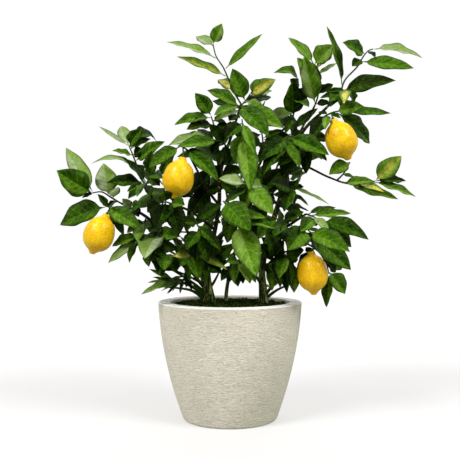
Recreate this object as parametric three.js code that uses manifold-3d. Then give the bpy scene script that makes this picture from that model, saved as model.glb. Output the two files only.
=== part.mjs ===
// Potted lemon tree: a cement-finished pot filled with soil, four bark-covered stems,
// leafy sprays grown along hand-placed twigs, and four hanging lemons.
// Millimetres, +Z up, origin at the centre of the pot's flat underside, front towards -Y.
import * as THREE from "three";
import { mergeVertices } from "three/addons/utils/BufferGeometryUtils.js";
import ManifoldModule from "manifold-3d";

const wasm = await ManifoldModule();
wasm.setup();
const { Manifold, Mesh: SolidMesh } = wasm;

// ---------------------------------------------------------------- driving dimensions
const GAP = 0.3;
const POT = {
  height: 232, rimRadius: 143, mouthRadius: 118, baseRadius: 93, edge: 3,
  flare: 0.3793, bow: 0.000706, floor: 16, sides: 40,
};
const SOIL = { edgeHeight: 226, crownHeight: 232.5, sides: 20 };
const STEM_SIDES = { trunk: 6, limb: 5 };
const TWIG = { sides: 3, rootRadius: 1.8, tipRadius: 1.2, overrun: 2 };
const STALK = { radius: 1.5, calyxRadius: 4.2, calyxHeight: 1.8, sides: 5 };
const LEMON_SIDES = 10;
const BLADE = {
  thickness: 0.8, petiole: 0.12, fold: 18, arch: 0.04, fullness: 0.6, taper: 0.98,
  stations: [0.32, 0.7], foldedFrom: 37,
};

// The layout is drawn as an eye in front of the tree sees it. A layout point is
// [across, down, depth]: cells counted from the top left, and millimetres behind the trunk plane.
const EYE = { distance: 1474, height: 374, cell: 230, cellsAway: 737 };

// Depth nudges, in order of preference, for a leaf whose tip is laid out by hand.
const TIP_NUDGES = [0, -9, 9, -18, 18, -28, 28, -40, 40, -54, 54, -70, 70];
// Turns about the twig and shortenings for a leaf that the growth rule places.
const RULE_NUDGES = [
  [0, 1], [0.06, 1], [-0.06, 1], [0.12, 1], [-0.12, 1], [0, 0.8], [0.09, 0.8], [-0.09, 0.8],
  [0.2, 0.9], [-0.2, 0.9], [0.3, 0.8], [-0.3, 0.8], [0.4, 0.7], [0.5, 0.6],
];

// Stems: name, then limbs as routes of [across, down, depth, radius]; the first limb is the trunk.
const STEMS = [
  ["stem_left", [
    [
      [206, 318, -5, 6.5], [206, 301, -5, 6.4], [205, 288, -6, 6], [201, 272, -8, 5.4],
      [192, 256, -12, 4.8], [176, 240, -20, 4.2], [158, 226, -30, 3.6], [142, 214, -36, 3],
      [124, 205, -40, 2.4],
    ],
    [
      [158, 226, -30, 2.8], [156, 212, -28, 2.8], [153, 200, -26, 2.6], [147, 187, -24, 2.4],
      [140, 177, -24, 2.2],
    ],
    [
      [204, 285, -6, 2.8], [196, 280, -20, 2.6], [186, 275, -34, 2.2], [176, 271, -46, 1.8],
    ],
    [
      [201, 272, -8, 3.6], [195, 250, 38, 3.4], [186, 228, 74, 3], [176, 206, 98, 2.4],
    ],
    [
      [201, 272, -8, 3], [190, 264, -45, 2.8], [178, 256, -78, 2.2], [168, 250, -95, 1.9],
    ],
  ]],
  ["stem_front", [
    [
      [213, 318, -20, 6], [213, 302, -20, 5.9], [210, 288, -22, 5.6], [208, 272, -24, 5.2],
      [210, 252, -26, 4.8], [215, 230, -26, 4.4], [219, 205, -26, 4], [220, 178, -26, 3.8],
      [224, 158, -24, 3.4], [230, 140, -22, 3], [236, 121, -20, 2.6], [241, 104, -20, 2.2],
    ],
    [
      [220, 178, -26, 3], [218, 161, -24, 2.8], [217, 145, -22, 2.4], [215, 129, -20, 2],
    ],
    [
      [219, 205, -26, 3], [206, 188, -60, 2.7], [196, 168, -84, 2.3], [187, 150, -92, 2],
    ],
    [
      [210, 252, -26, 3.4], [219, 240, -70, 3.1], [229, 228, -112, 2.6], [238, 222, -138, 2.2],
    ],
    [
      [215, 230, -26, 3.2], [203, 220, -66, 2.9], [188, 210, -98, 2.5], [172, 204, -116, 2],
    ],
  ]],
  ["stem_middle", [
    [
      [226, 318, 12, 4.2], [226, 300, 12, 4.1], [227, 288, 14, 3.8], [230, 270, 18, 3.6],
      [236, 248, 25, 3.4], [243, 222, 33, 3.2], [250, 195, 40, 3], [258, 168, 42, 2.8],
      [270, 146, 36, 2.6], [283, 130, 28, 2.4], [293, 118, 22, 2.2],
    ],
    [
      [236, 248, 25, 3.2], [232, 226, 66, 3], [228, 202, 98, 2.6], [224, 178, 116, 2.1],
    ],
    [
      [243, 222, 33, 3.2], [258, 206, 74, 3], [270, 186, 104, 2.6], [278, 164, 118, 2.1],
    ],
    [
      [250, 195, 40, 2.8], [250, 186, -10, 2.7], [248, 171, -58, 2.4], [245, 152, -88, 2.1],
      [244, 138, -98, 1.9],
    ],
  ]],
  ["stem_right", [
    [
      [263.5, 320, -10, 10.6], [263.5, 303, -10, 10.2], [263, 290, -10, 8.6], [262, 272, -10, 7],
      [265, 250, -8, 6.3], [271, 228, -8, 5.7], [278, 205, -8, 5.2], [285, 182, -8, 4.6],
      [291, 160, -9, 4.1], [298, 140, -11, 3.6], [308, 125, -13, 3.2], [321, 113, -16, 2.8],
      [332, 102, -18, 2.5], [341, 92, -20, 2.2],
    ],
    [
      [285, 182, -8, 2.8], [289, 169, -20, 2.7], [298, 163, -30, 2.5], [312, 169, -38, 2.3],
      [326, 176, -43, 2.1], [341, 182, -46, 1.9],
    ],
    [
      [271, 228, -8, 3.4], [285, 227, -36, 3.1], [297, 220, -52, 2.6], [306, 214, -60, 2.2],
    ],
    [
      [271, 228, -8, 3.2], [285, 240, -50, 2.9], [297, 244, -76, 2.5], [308, 244, -88, 2.1],
    ],
    [
      [263, 284, -10, 3], [272, 286, -34, 2.7], [282, 278, -58, 2.3], [290, 264, -70, 1.9],
    ],
    [
      [265, 250, -8, 3.6], [275, 236, 46, 3.3], [287, 217, 82, 2.8], [297, 197, 102, 2.2],
    ],
    [
      [278, 205, -8, 3.2], [270, 197, -60, 2.9], [262, 190, -104, 2.4], [255, 188, -128, 2],
    ],
    [
      [308, 125, -13, 2.6], [318, 121, -38, 2.3], [327, 115, -54, 1.9],
    ],
    [
      [298, 140, -11, 2.8], [303, 126, 2, 2.6], [310, 115, 6, 2.3], [315, 105, 4, 2],
    ],
  ]],
];

// Sprays: name, stem, limb and share of the limb where the twig starts, the twig's route,
// leaves laid out by hand as [share of twig, across, down, depth, width, turn, arch],
// then the growth rule's leaf count, leaf length and starting share of a full turn.
const SPRAYS = [
  ["crown_left", "stem_front", 0, 1,
    [[234, 92, -22], [228, 78, -24], [223, 67, -24], [216, 56, -22], [213, 44, -20]],
    [
      [1, 222, 23.5, -34, 28, 84], [0.95, 196, 36.5, 16, 28, 64], [0.75, 166.5, 42, 0, 26, 44, 0.06],
      [0.55, 262.5, 33.7, -60, 23, 56, 0.03], [0.42, 176.5, 56.5, -60, 28, 48, 0.03],
      [0.2, 218.5, 79.5, 44, 30, 70],
    ], [0, 0, 0]],
  ["crown_fan", "stem_front", 0, 0.98, [[246, 100, -14], [250, 94, -6]],
    [
      [0.42, 232.3, 68.5, -25, 41, 80], [0.9, 276, 79.5, -44, 33, 78], [0.95, 268, 79, 30, 30, 66],
      [0.8, 272, 91, 0, 24, 60], [0.5, 264.5, 113, -10, 28, 75], [0.25, 271.5, 97, 6, 28, 56],
    ], [0, 0, 0]],
  ["crown_front", "stem_front", 0, 0.93, [[239, 110, -40], [240, 105, -62]],
    [
      [0.8, 207, 90.3, -80, 32, 60], [0.95, 269, 137, -118, 46, 66], [0.9, 284, 128, -75, 44, 66],
      [0.6, 212, 101, -20, 28, 56], [0.5, 219, 119, -90, 22, 55], [0.85, 214, 115.5, -60, 24, 55],
    ], [0, 0, 0]],
  ["upper_left", "stem_front", 1, 1, [[213, 122, -22], [211, 116, -24]],
    [
      [1, 195, 93, -36, 33, 80], [0.8, 174.3, 125, -50, 30, 52, 0.1],
      [0.3, 186.5, 129.7, -90, 34, 54, 0.05], [0.5, 236, 109, -70, 28, 45],
      [0.6, 228, 125, 30, 26, 45],
    ], [0, 0, 0]],
  ["shelf_left", "stem_front", 0, 0.78, [[222, 142, -50], [214, 140, -70]],
    [
      [0.7, 177.5, 146.3, -100, 34, 54, 0.03], [0.95, 167, 146.8, -30, 30, 52, 0.12],
      [0.4, 231, 121, -30, 24, 60], [0.3, 208, 124, -80, 28, 60], [0.6, 212, 154, -40, 32, 60],
    ], [0, 0, 0]],
  ["left_top", "stem_left", 1, 1, [[137, 166, -24], [132, 153, -24], [129, 146, -22]],
    [
      [1, 98.7, 126.3, -30, 11, 55], [1, 121.5, 126, 30, 28, 72], [0.95, 142, 128.5, -50, 30, 76],
      [0.95, 158, 143.5, -6, 42, 40, 0.4], [0.45, 165, 141.5, -64, 32, 62],
      [0.6, 112, 150.7, -50, 18, 45], [0.17, 91, 164, -46, 22, 30, 0.24], [0.8, 141, 143, 20, 22, 60],
    ], [0, 0, 0]],
  ["left_mid", "stem_left", 1, 0.9, [[146, 184, -40], [152, 170, -50]],
    [
      [0.2, 106.7, 183, -84, 32, 58, 0.05], [0.45, 127, 191.7, -66, 20, 60],
      [0.8, 163, 178.5, -110, 24, 60], [0.8, 152, 150, -108, 30, 74], [0.5, 150, 197, -90, 20, 60],
    ], [1, 65, 0.4]],
  ["far_left", "stem_left", 0, 1, [[112, 198, -50], [102, 192, -54], [92.5, 193, -52]],
    [
      [0.95, 66, 147.6, -24, 38, 66], [1, 56.5, 170.5, -86, 54, 76], [0.45, 103.5, 163.2, -80, 46, 82],
      [0.3, 118, 187, -20, 24, 70],
    ], [0, 0, 0]],
  ["far_left_low", "stem_left", 0, 0.93, [[124, 208, -60], [106, 206.5, -52]],
    [
      [0.95, 60, 225, -24, 54, 62, 0.08], [0.95, 141.7, 229, -105, 38, 66],
      [0.9, 124, 236, -66, 24, 50], [0.1, 122, 198.5, -84, 20, 70], [0.9, 97.5, 194, -80, 16, 60],
      [0.15, 141, 205, -92, 28, 60],
    ], [0, 0, 0]],
  ["left_low", "stem_left", 0, 0.84, [[142, 228, -62], [138, 240, -74]],
    [
      [1, 108, 263, -90, 26, 50], [0.8, 112, 246.3, -70, 28, 52], [1, 129.5, 263, -110, 20, 60],
      [0.9, 124.5, 249, -50, 26, 60], [0.3, 137.5, 242, -118, 30, 70], [0.2, 127, 233, -60, 26, 60],
    ], [0, 0, 0]],
  ["left_inner", "stem_left", 0, 0.72, [[156, 236, -70], [152, 246, -86]],
    [
      [0.4, 180, 237, -120, 32, 62], [0.9, 166, 257, -130, 34, 72], [0.4, 144, 259, -142, 50, 76],
      [1, 160, 274, -84, 30, 50], [0.9, 149, 267, -100, 28, 55],
    ], [0, 0, 0]],
  ["lemon_shoot_left", "stem_front", 2, 1, [[183, 147, -98], [178, 146, -104]],
    [
      [0.7, 148.3, 168.3, -116, 34, 60, 0.05], [0.2, 218.5, 181.5, -124, 36, 60, 0.06],
      [0.9, 160, 176, -66, 30, 55], [0.25, 205, 163, -60, 28, 50],
    ], [0, 0, 0]],
  ["centre_high", "stem_right", 0, 0.7, [[290, 136, -60], [282, 140, -82]],
    [
      [0.6, 256, 163.5, -124, 44, 62, 0.05], [0.6, 329, 155, -90, 42, 62],
      [0.9, 262, 176, -130, 32, 60], [0.8, 300, 168, -126, 30, 60],
    ], [0, 0, 0]],
  ["centre_tall", "stem_middle", 3, 1, [[243, 130, -108], [242, 119, -114]],
    [
      [0.3, 250, 192, -146, 40, 80], [0.85, 256, 155, -140, 22, 75], [0.8, 226, 138, -120, 33, 66],
      [0.4, 236.5, 165, -120, 34, 70],
    ], [0, 0, 0]],
  ["centre_mid", "stem_right", 6, 1, [[250, 187, -140], [246, 184, -150]],
    [
      [0.6, 273.5, 214.7, -188, 40, 72], [0.9, 218.7, 178.3, -140, 26, 60],
      [0.8, 262, 186, -170, 28, 75], [0.6, 244, 211, -136, 28, 60], [0.3, 270, 200, -96, 32, 60],
    ], [1, 66, 0.55]],
  ["centre_low", "stem_front", 3, 1, [[235, 214, -146], [228, 206, -152], [223, 201, -156]],
    [
      [1, 251, 231, -190, 50, 78], [0.02, 257, 277.5, -186, 52, 80], [0.1, 277, 229, -190, 24, 55],
      [0.3, 266, 218, -176, 22, 60], [0.4, 227, 243, -126, 30, 60],
    ], [0, 0, 0]],
  ["centre_left", "stem_front", 4, 1, [[166, 202, -128], [160, 203, -136]],
    [
      [0.3, 178.5, 236, -156, 42, 66], [0.5, 157, 229, -156, 46, 72], [0.9, 147, 212, -140, 34, 66],
      [0.1, 184, 190, -60, 30, 60], [0.5, 163, 190, -128, 30, 60],
    ], [1, 66, 0.8]],
  ["centre_left_low", "stem_front", 4, 0.6, [[196, 222, -110], [200, 230, -130]],
    [
      [0.5, 184, 222, -120, 28, 62], [0.9, 208, 262, -146, 34, 66], [0.8, 222, 252, -156, 24, 60],
      [0.4, 222, 204, -112, 32, 60], [1, 186, 250, -146, 32, 60],
    ], [0, 0, 0]],
  ["top_centre", "stem_middle", 0, 1, [[294, 112, 18], [296, 98, 16], [299, 84, 14]],
    [
      [1, 273.5, 73, -6, 32, 44, 0.28], [0.1, 292.6, 81, -6, 45, 84], [0.35, 311, 84, 34, 32, 66],
      [0.7, 322, 84, 20, 24, 45], [0.3, 266.5, 116, 50, 32, 66],
    ], [0, 0, 0]],
  ["top_tall", "stem_right", 8, 1, [[318, 95, 0], [318, 80, -4], [314, 64, -8]],
    [
      [0.03, 304, 55, -36, 42, 86], [1, 288, 37.6, 0, 30, 55], [0.98, 333, 44.8, -20, 45, 66],
      [0.85, 334.5, 50, 30, 22, 60], [0.75, 337, 63, 16, 14, 50], [0.4, 297, 57.5, -8, 44, 78],
      [0.35, 333, 84, 10, 24, 60],
    ], [0, 0, 0]],
  ["right_top", "stem_right", 0, 1,
    [[345, 80, -22], [357, 67, -24], [363, 57, -24], [368, 51, -22], [373, 49, -20]],
    [
      [0.1, 326.5, 26, -30, 26, 48], [0.68, 342.5, 42.5, -50, 36, 64],
      [1, 422.3, 58, -10, 38, 40, 0.07], [0.55, 352, 66.5, -36, 22, 68], [0.5, 414, 68.3, -60, 34, 64],
      [0.8, 375, 57.5, -40, 16, 60],
    ], [0, 0, 0]],
  ["right_top_low", "stem_right", 0, 0.99, [[346, 90, -30], [352, 90, -38]],
    [
      [0.08, 396, 80.5, -56, 40, 64, 0.1], [0.5, 325, 92, -30, 13, 60], [0.6, 344, 104, -60, 24, 66],
      [0.8, 354, 103, -20, 22, 60], [0.3, 329, 102, -44, 28, 60],
    ], [0, 0, 0]],
  ["right_mid", "stem_right", 7, 1, [[334, 112, -60], [342, 111, -64]],
    [
      [0.6, 363.5, 106, -66, 36, 60], [0.9, 391, 113.3, -46, 22, 60],
      [0.6, 369.8, 143.7, -14, 40, 70, 0.08], [0.05, 325, 130, -90, 18, 60],
      [0.1, 310, 141, -84, 34, 60],
    ], [0, 0, 0]],
  ["right_inner", "stem_right", 0, 0.72, [[306, 140, -38], [307, 146, -56]],
    [
      [0.8, 286, 156, -100, 34, 62], [0.9, 322, 160, -60, 26, 50], [0.5, 330, 138, -30, 30, 55],
      [0.7, 300, 152, -106, 30, 60],
    ], [0, 0, 0]],
  ["right_low_mid", "stem_right", 1, 0.93, [[344, 173, -48], [350, 162, -52]],
    [
      [1, 329, 174.7, -70, 30, 70], [0.4, 354, 177, -44, 11, 50],
    ], [0, 0, 0]],
  ["right_low_tip", "stem_right", 1, 1, [[352, 184, -48], [364, 183, -50], [375, 181, -50]],
    [
      [0.1, 374, 181, -84, 22, 60], [0.2, 398.3, 199.3, -76, 28, 60], [1, 401.5, 156, -60, 40, 74],
      [1, 406, 181, -20, 26, 50], [0.9, 416, 197, -50, 26, 45], [0.5, 384, 192, -110, 20, 60],
    ], [0, 0, 0]],
  ["low_right_top", "stem_right", 2, 1, [[314, 217, -66], [322, 222, -72]],
    [
      [0.3, 351.3, 213.5, -66, 26, 45, 0.05], [0.9, 368.8, 239.8, -100, 38, 62, 0.17],
      [0.8, 351.5, 247, -56, 44, 66], [0.1, 336, 207.5, -20, 18, 45], [0.6, 300, 232, -106, 34, 62],
      [0.45, 329, 234, -118, 20, 66],
    ], [0, 0, 0]],
  ["low_right_mid", "stem_right", 2, 0.8, [[305, 226, -86], [312, 234, -100]],
    [
      [0.6, 287, 250.5, -126, 50, 76], [0.8, 350, 252, -136, 44, 64], [0.9, 351, 270, -116, 48, 70],
      [0.95, 342, 270, -70, 34, 60],
    ], [0, 0, 0]],
  ["low_right_lemon", "stem_right", 3, 1, [[318, 251, -84], [326, 263, -76], [329, 274, -70]],
    [
      [0.9, 345, 294, -84, 36, 70], [1, 326.5, 307.5, -80, 24, 60], [0.3, 341, 270, -98, 36, 64],
      [0.5, 297, 270, -60, 44, 60],
    ], [0, 0, 0]],
  ["low_right_inner", "stem_right", 4, 1, [[288, 258, -80], [284, 254, -92]],
    [
      [0.3, 294, 293, -106, 32, 66], [0.8, 279, 279, -126, 30, 62], [0.9, 304, 250, -100, 36, 64],
      [0.5, 272, 262, -60, 28, 55],
    ], [1, 60, 0.1]],
  ["right_core", "stem_right", 0, 0.56, [[290, 192, -50], [292, 186, -70]],
    [
      [0.6, 308.5, 206, -86, 11, 50], [0.9, 284, 212, -116, 30, 62], [0.8, 270, 182, -126, 36, 64],
      [0.3, 329.7, 204.5, -64, 14, 34, 0.02], [0.4, 304, 187, -60, 22, 45],
    ], [0, 0, 0]],
  ["right_core_low", "stem_right", 0, 0.42, [[282, 222, -50], [286, 226, -70]],
    [
      [0.7, 273, 237, -116, 26, 60], [0.5, 304, 212, -80, 30, 50], [0.9, 264, 244, -126, 34, 66],
      [0.8, 290, 250, -106, 36, 62],
    ], [1, 64, 0.9]],
  ["low_left_front", "stem_left", 4, 1, [[162, 254, -104], [158, 258, -110]],
    [
      [0.3, 163.5, 270.5, -138, 36, 76], [0.9, 158, 276, -136, 16, 60],
    ], [0, 0, 0]],
  ["low_left_mid", "stem_left", 4, 0.5, [[190, 256, -90], [194, 252, -104]],
    [
      [0.6, 172, 256, -160, 20, 62], [0.9, 228, 270, -146, 18, 60], [0.8, 199, 279, -126, 34, 68],
      [0.4, 178, 266, -64, 30, 60],
    ], [0, 0, 0]],
  ["low_left_ground", "stem_left", 2, 0.7, [[184, 280, -40], [176, 284, -46]],
    [
      [0.6, 141, 294.7, -80, 26, 34, 0.06], [0.9, 161, 291.5, -30, 9, 30], [0.5, 172, 292, -70, 9, 30],
      [0.7, 160, 280, -10, 9, 30], [1, 152, 277, -76, 10, 40], [0.95, 149, 269, -70, 14, 50],
      [0.9, 163, 287, -90, 10, 40], [0.8, 147, 283, -50, 13, 30], [0.3, 166, 294.5, -16, 9, 30],
      [0.25, 166, 283, 20, 10, 30],
    ], [0, 0, 0]],
  ["low_middle", "stem_middle", 0, 0.2, [[236, 262, -20], [240, 262, -36]],
    [
      [0.6, 234, 283, -64, 28, 62], [0.9, 250, 284, -74, 30, 62], [0.7, 226, 262, -60, 28, 55],
      [0.5, 252, 262, -10, 28, 55],
    ], [1, 56, 0.2]],
  ["back_left", "stem_left", 3, 1, [[168, 192, 112], [158, 178, 126]],
    [], [6, 84, 0.1]],
  ["back_left_low", "stem_left", 3, 0.6, [[176, 232, 100], [166, 236, 130]],
    [], [6, 80, 0.45]],
  ["back_middle", "stem_middle", 1, 1, [[220, 160, 134], [216, 144, 146]],
    [], [6, 86, 0.3]],
  ["back_middle_low", "stem_middle", 1, 0.6, [[222, 214, 120], [216, 220, 154]],
    [], [6, 82, 0.7]],
  ["back_right", "stem_middle", 2, 1, [[286, 150, 132], [294, 138, 142]],
    [], [6, 80, 0.55]],
  ["back_right_low", "stem_middle", 2, 0.6, [[272, 200, 126], [280, 204, 158]],
    [], [6, 82, 0.05]],
  ["back_far_right", "stem_right", 5, 1, [[290, 184, 120], [288, 170, 134]],
    [], [6, 62, 0.85]],
  ["back_far_right_low", "stem_right", 5, 0.6, [[292, 226, 100], [304, 236, 128]],
    [], [6, 76, 0.25]],
  ["inner_left", "stem_front", 0, 0.64, [[204, 192, 26], [194, 196, 44]],
    [
      [0.9, 170, 188, 24, 40, 55], [0.3, 187, 219.5, -10, 40, 70], [0.5, 196, 172, 70, 36, 55],
      [0.3, 197, 214, 30, 32, 55], [0.6, 176, 170, 80, 36, 45], [0.8, 214, 166, -40, 40, 62],
    ], [1, 66, 0.2]],
  ["inner_middle", "stem_middle", 0, 0.55, [[256, 196, 34], [264, 190, 30]],
    [
      [0.9, 284, 168, 0, 38, 60], [0.7, 268, 162, 50, 38, 60], [0.6, 240, 172, 66, 36, 55],
      [0.4, 262, 232, 40, 40, 60], [0.6, 244, 206, 0, 36, 60], [0.2, 252, 246, 30, 34, 60],
    ], [1, 66, 0.8]],
  ["inner_low", "stem_front", 0, 0.3, [[200, 262, -40], [192, 258, -54]],
    [
      [0.5, 216, 246, -100, 34, 60], [0.9, 174, 246, -90, 34, 55], [0.7, 206, 282, -90, 32, 55],
      [0.3, 222, 274, -80, 34, 60], [0.8, 190, 238, -100, 34, 60], [0.35, 228, 248, -48, 32, 60],
    ], [1, 60, 0.5]],
  ["inner_right", "stem_right", 0, 0.24, [[272, 262, -40], [276, 256, -56]],
    [
      [0.6, 276.5, 278.5, -86, 30, 66], [0.9, 256, 246, -100, 34, 60], [0.7, 284, 240, -60, 33, 60],
      [0.4, 296, 262, -60, 33, 50], [0.8, 268, 234, -84, 32, 60],
    ], [1, 60, 0.9]],
  ["inner_top", "stem_right", 0, 0.66, [[291, 139, 18], [293, 130, 44]],
    [
      [0.9, 274, 112, 80, 36, 60], [0.6, 306, 136, 50, 36, 60], [0.8, 270, 150, 84, 38, 60],
      [0.9, 284, 118, 76, 26, 60], [1, 318, 108, 56, 22, 60],
    ], [1, 60, 0.4]],
  ["back_top", "stem_middle", 0, 0.75, [[262, 134, 62], [258, 118, 80]],
    [], [6, 78, 0.6]],
];

// Lemons: name, spray, share of its twig where the stalk starts, neck, nose, diameter.
const LEMONS = [
  ["lemon_left", "far_left", 0.2, [107, 214, -84], [91.5, 254, -84], 58],
  ["lemon_upper", "lemon_shoot_left", 0.5, [183, 157, -112], [174, 199, -112], 58],
  ["lemon_right", "right_mid", 0.3, [333, 119, -66], [349, 160, -66], 60],
  ["lemon_low", "low_right_lemon", 0.3, [311, 251, -96], [314, 295, -96], 57],
];

// ---------------------------------------------------------------- small vector helpers
const vec = (x, y, z) => new THREE.Vector3(x, y, z);
const UP = vec(0, 0, 1);
const VIEWER = vec(0, -1, 0);

function place([across, down, depth]) {
  const k = (EYE.distance + depth) / EYE.cellsAway;
  return vec((across - EYE.cell) * k, depth, EYE.height - (down - EYE.cell) * k);
}

function pointAlong(points, share) {
  const x = Math.min(Math.max(share, 0), 1) * (points.length - 1);
  const i = Math.min(Math.floor(x), points.length - 2);
  return points[i].clone().lerp(points[i + 1], x - i);
}

function draw(seed, k) {
  const x = Math.sin(seed * 127.1 + k * 311.7) * 43758.5453;
  return x - Math.floor(x);
}

const radians = (degrees) => degrees * Math.PI / 180;

// ---------------------------------------------------------------- closed shells
function shell(points, faces) {
  const mesh = new SolidMesh({
    numProp: 3,
    vertProperties: new Float32Array(points.flatMap((p) => [p.x, p.y, p.z])),
    triVerts: new Uint32Array(faces.flat()),
  });
  return new Manifold(mesh);
}

// Joins rings of equal size into a closed shell, with a fan at each end.
function skin(rings, first, last) {
  const n = rings[0].length;
  const points = [first, ...rings.flat(), last];
  const end = points.length - 1;
  const faces = [];
  for (let j = 0; j < n; j += 1) {
    const k = (j + 1) % n;
    faces.push([0, 1 + k, 1 + j]);
    for (let i = 0; i < rings.length - 1; i += 1) {
      const a = 1 + i * n;
      faces.push([a + j, a + k, a + n + k]);
      faces.push([a + j, a + n + k, a + n + j]);
    }
    const a = 1 + (rings.length - 1) * n;
    faces.push([a + j, a + k, end]);
  }
  return shell(points, faces);
}

// Turns a profile of [radius, height] pairs, listed upwards from axis to axis, about +Z.
function revolve(profile, sides) {
  const turned = new THREE.LatheGeometry(profile.map(([r, z]) => new THREE.Vector2(r, z)), sides);
  turned.rotateX(Math.PI / 2);
  turned.deleteAttribute("normal");
  turned.deleteAttribute("uv");
  const { attributes, index } = mergeVertices(turned, 1e-4);
  const mesh = new SolidMesh({
    numProp: 3, vertProperties: attributes.position.array, triVerts: new Uint32Array(index.array),
  });
  return new Manifold(mesh);
}

// A tapering round limb through the given points.
function limb(points, radii, sides, extra = 0) {
  const ends = points.map((p) => p.clone());
  const last = ends.length - 1;
  ends[0].addScaledVector(ends[0].clone().sub(ends[1]).normalize(), extra);
  ends[last].addScaledVector(ends[last].clone().sub(ends[last - 1]).normalize(), extra);
  let across = null;
  const rings = ends.map((p, i) => {
    const run = ends[Math.min(i + 1, last)].clone().sub(ends[Math.max(i - 1, 0)]).normalize();
    const start = Math.abs(run.z) < 0.9 ? UP : vec(1, 0, 0);
    across = (across ?? start).clone().addScaledVector(run, -(across ?? start).dot(run)).normalize();
    const other = run.clone().cross(across);
    return Array.from({ length: sides }, (_, j) => {
      const a = (2 * Math.PI * j) / sides;
      const r = radii[i] + extra;
      return p.clone().addScaledVector(across, r * Math.cos(a)).addScaledVector(other, r * Math.sin(a));
    });
  });
  return skin(rings, ends[0], ends[last]);
}

// ---------------------------------------------------------------- pot and soil
const potRadius = (z) => POT.baseRadius + POT.flare * z - POT.bow * z * z;

function potProfile() {
  const { height, rimRadius, mouthRadius, edge, floor } = POT;
  const wall = rimRadius - mouthRadius;
  const outer = [30, 80, 130, 185].map((z) => [potRadius(z), z]);
  const inner = [185, 110, 50, floor].map((z) => [potRadius(z) - wall, z]);
  return [
    [0, 0], [potRadius(0) - edge, 0], [potRadius(edge), edge], ...outer,
    [rimRadius, height - edge], [rimRadius - edge * 0.6, height],
    [mouthRadius + edge, height], [mouthRadius, height - edge], ...inner, [0, floor],
  ];
}

function soilProfile() {
  const wall = POT.rimRadius - POT.mouthRadius;
  const edge = [POT.floor + GAP, 50, 110, 185].map((z) => [potRadius(z) - wall - GAP - 0.4, z]);
  return [
    [0, POT.floor + GAP], ...edge, [POT.mouthRadius - GAP - 0.4, SOIL.edgeHeight],
    [88, SOIL.edgeHeight + 2.6], [46, SOIL.crownHeight - 1.4], [0, SOIL.crownHeight],
  ];
}

// ---------------------------------------------------------------- lemons and stalks
const LEMON_PROFILE = [
  [0.01, 0.24], [0.08, 0.29], [0.15, 0.56], [0.27, 0.84], [0.5, 1],
  [0.7, 0.93], [0.83, 0.68], [0.91, 0.36], [0.98, 0.2],
];

function lemonSolid(neck, nose, diameter) {
  const length = neck.distanceTo(nose);
  const profile = LEMON_PROFILE.map(([t, r]) => [r * diameter / 2, -t * length]).reverse();
  const solid = revolve([[0, -length], ...profile, [0, 0]], LEMON_SIDES);
  const turn = new THREE.Quaternion().setFromUnitVectors(UP, neck.clone().sub(nose).normalize());
  const matrix = new THREE.Matrix4().compose(neck, turn, vec(1, 1, 1));
  return solid.transform(matrix.toArray());
}

function stalkSolid(start, neck, nose) {
  const down = nose.clone().sub(neck).normalize();
  const foot = neck.clone().addScaledVector(down, -GAP);
  const knee = foot.clone().addScaledVector(down, -STALK.calyxHeight);
  const bend = start.clone().lerp(knee, 0.5).add(vec(0, 0, start.distanceTo(knee) * 0.12));
  const { radius, calyxRadius, sides } = STALK;
  const stalk = limb([start, bend, knee, foot], [radius, radius, radius, radius], sides);
  const calyx = limb([knee, foot], [radius, calyxRadius], sides);
  return stalk.add(calyx);
}

// ---------------------------------------------------------------- leaves
const FULL = (() => {
  const { fullness: a, taper: b } = BLADE;
  return (a + b) ** (a + b) / (a ** a * b ** b);
})();

function halfWidth(leaf, t) {
  const x = (t - BLADE.petiole) / (1 - BLADE.petiole);
  if (x <= 0 || x >= 1) {
    return 0;
  }
  return Math.max(0.5 * leaf.width * FULL * x ** BLADE.fullness * (1 - x) ** BLADE.taper, 1);
}

// Faces the blade: n is its upper side and s points across it. A quarter turn shows the upper
// side to the viewer, no turn shows the edge, and a turn below zero shows the underside.
function bladeAxes(reach, turn) {
  const d = reach.clone().normalize();
  const shown = VIEWER.clone().addScaledVector(d, -VIEWER.dot(d));
  const face = shown.length() > 0.2 ? shown : UP.clone().addScaledVector(d, -UP.dot(d));
  face.normalize();
  const over = d.clone().cross(face);
  over.multiplyScalar(over.z < -0.001 ? -1 : 1);
  const n = over.multiplyScalar(Math.cos(radians(turn))).addScaledVector(face, Math.sin(radians(turn)));
  return { d, n, s: d.clone().cross(n) };
}

// The points across the blade at share t: two or three on the blade, one at its root and its tip.
function bladeRow(leaf, axes, t, margin) {
  const mid = leaf.base.clone().addScaledVector(leaf.reach, t).addScaledVector(axes.n, margin);
  mid.addScaledVector(axes.n, leaf.arch * leaf.reach.length() * 4 * t * (1 - t));
  const w = halfWidth(leaf, t);
  if (w === 0) {
    return [mid.addScaledVector(axes.d, t * margin)];
  }
  const fold = leaf.folded ? radians(BLADE.fold) : 0;
  const side = (k) => mid.clone()
    .addScaledVector(axes.s, k * (w * Math.cos(fold) + margin))
    .addScaledVector(axes.n, w * Math.sin(fold));
  return leaf.folded ? [side(-1), mid, side(1)] : [side(-1), side(1)];
}

// One blade as a thin slab, from share `from` of its length out to the tip.
function bladeSolid(leaf, margin = 0, from = 0) {
  const axes = bladeAxes(leaf.reach, leaf.turn);
  const shares = [from, ...BLADE.stations, 1];
  const rows = shares.map((t) => bladeRow(leaf, axes, t, margin));
  const top = rows.flat();
  const drop = BLADE.thickness + 2 * margin;
  const under = top.map((p) => p.clone().addScaledVector(axes.n, -drop));
  return shell([...top, ...under], bladeFaces(rows.map((row) => row.length)));
}

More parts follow.
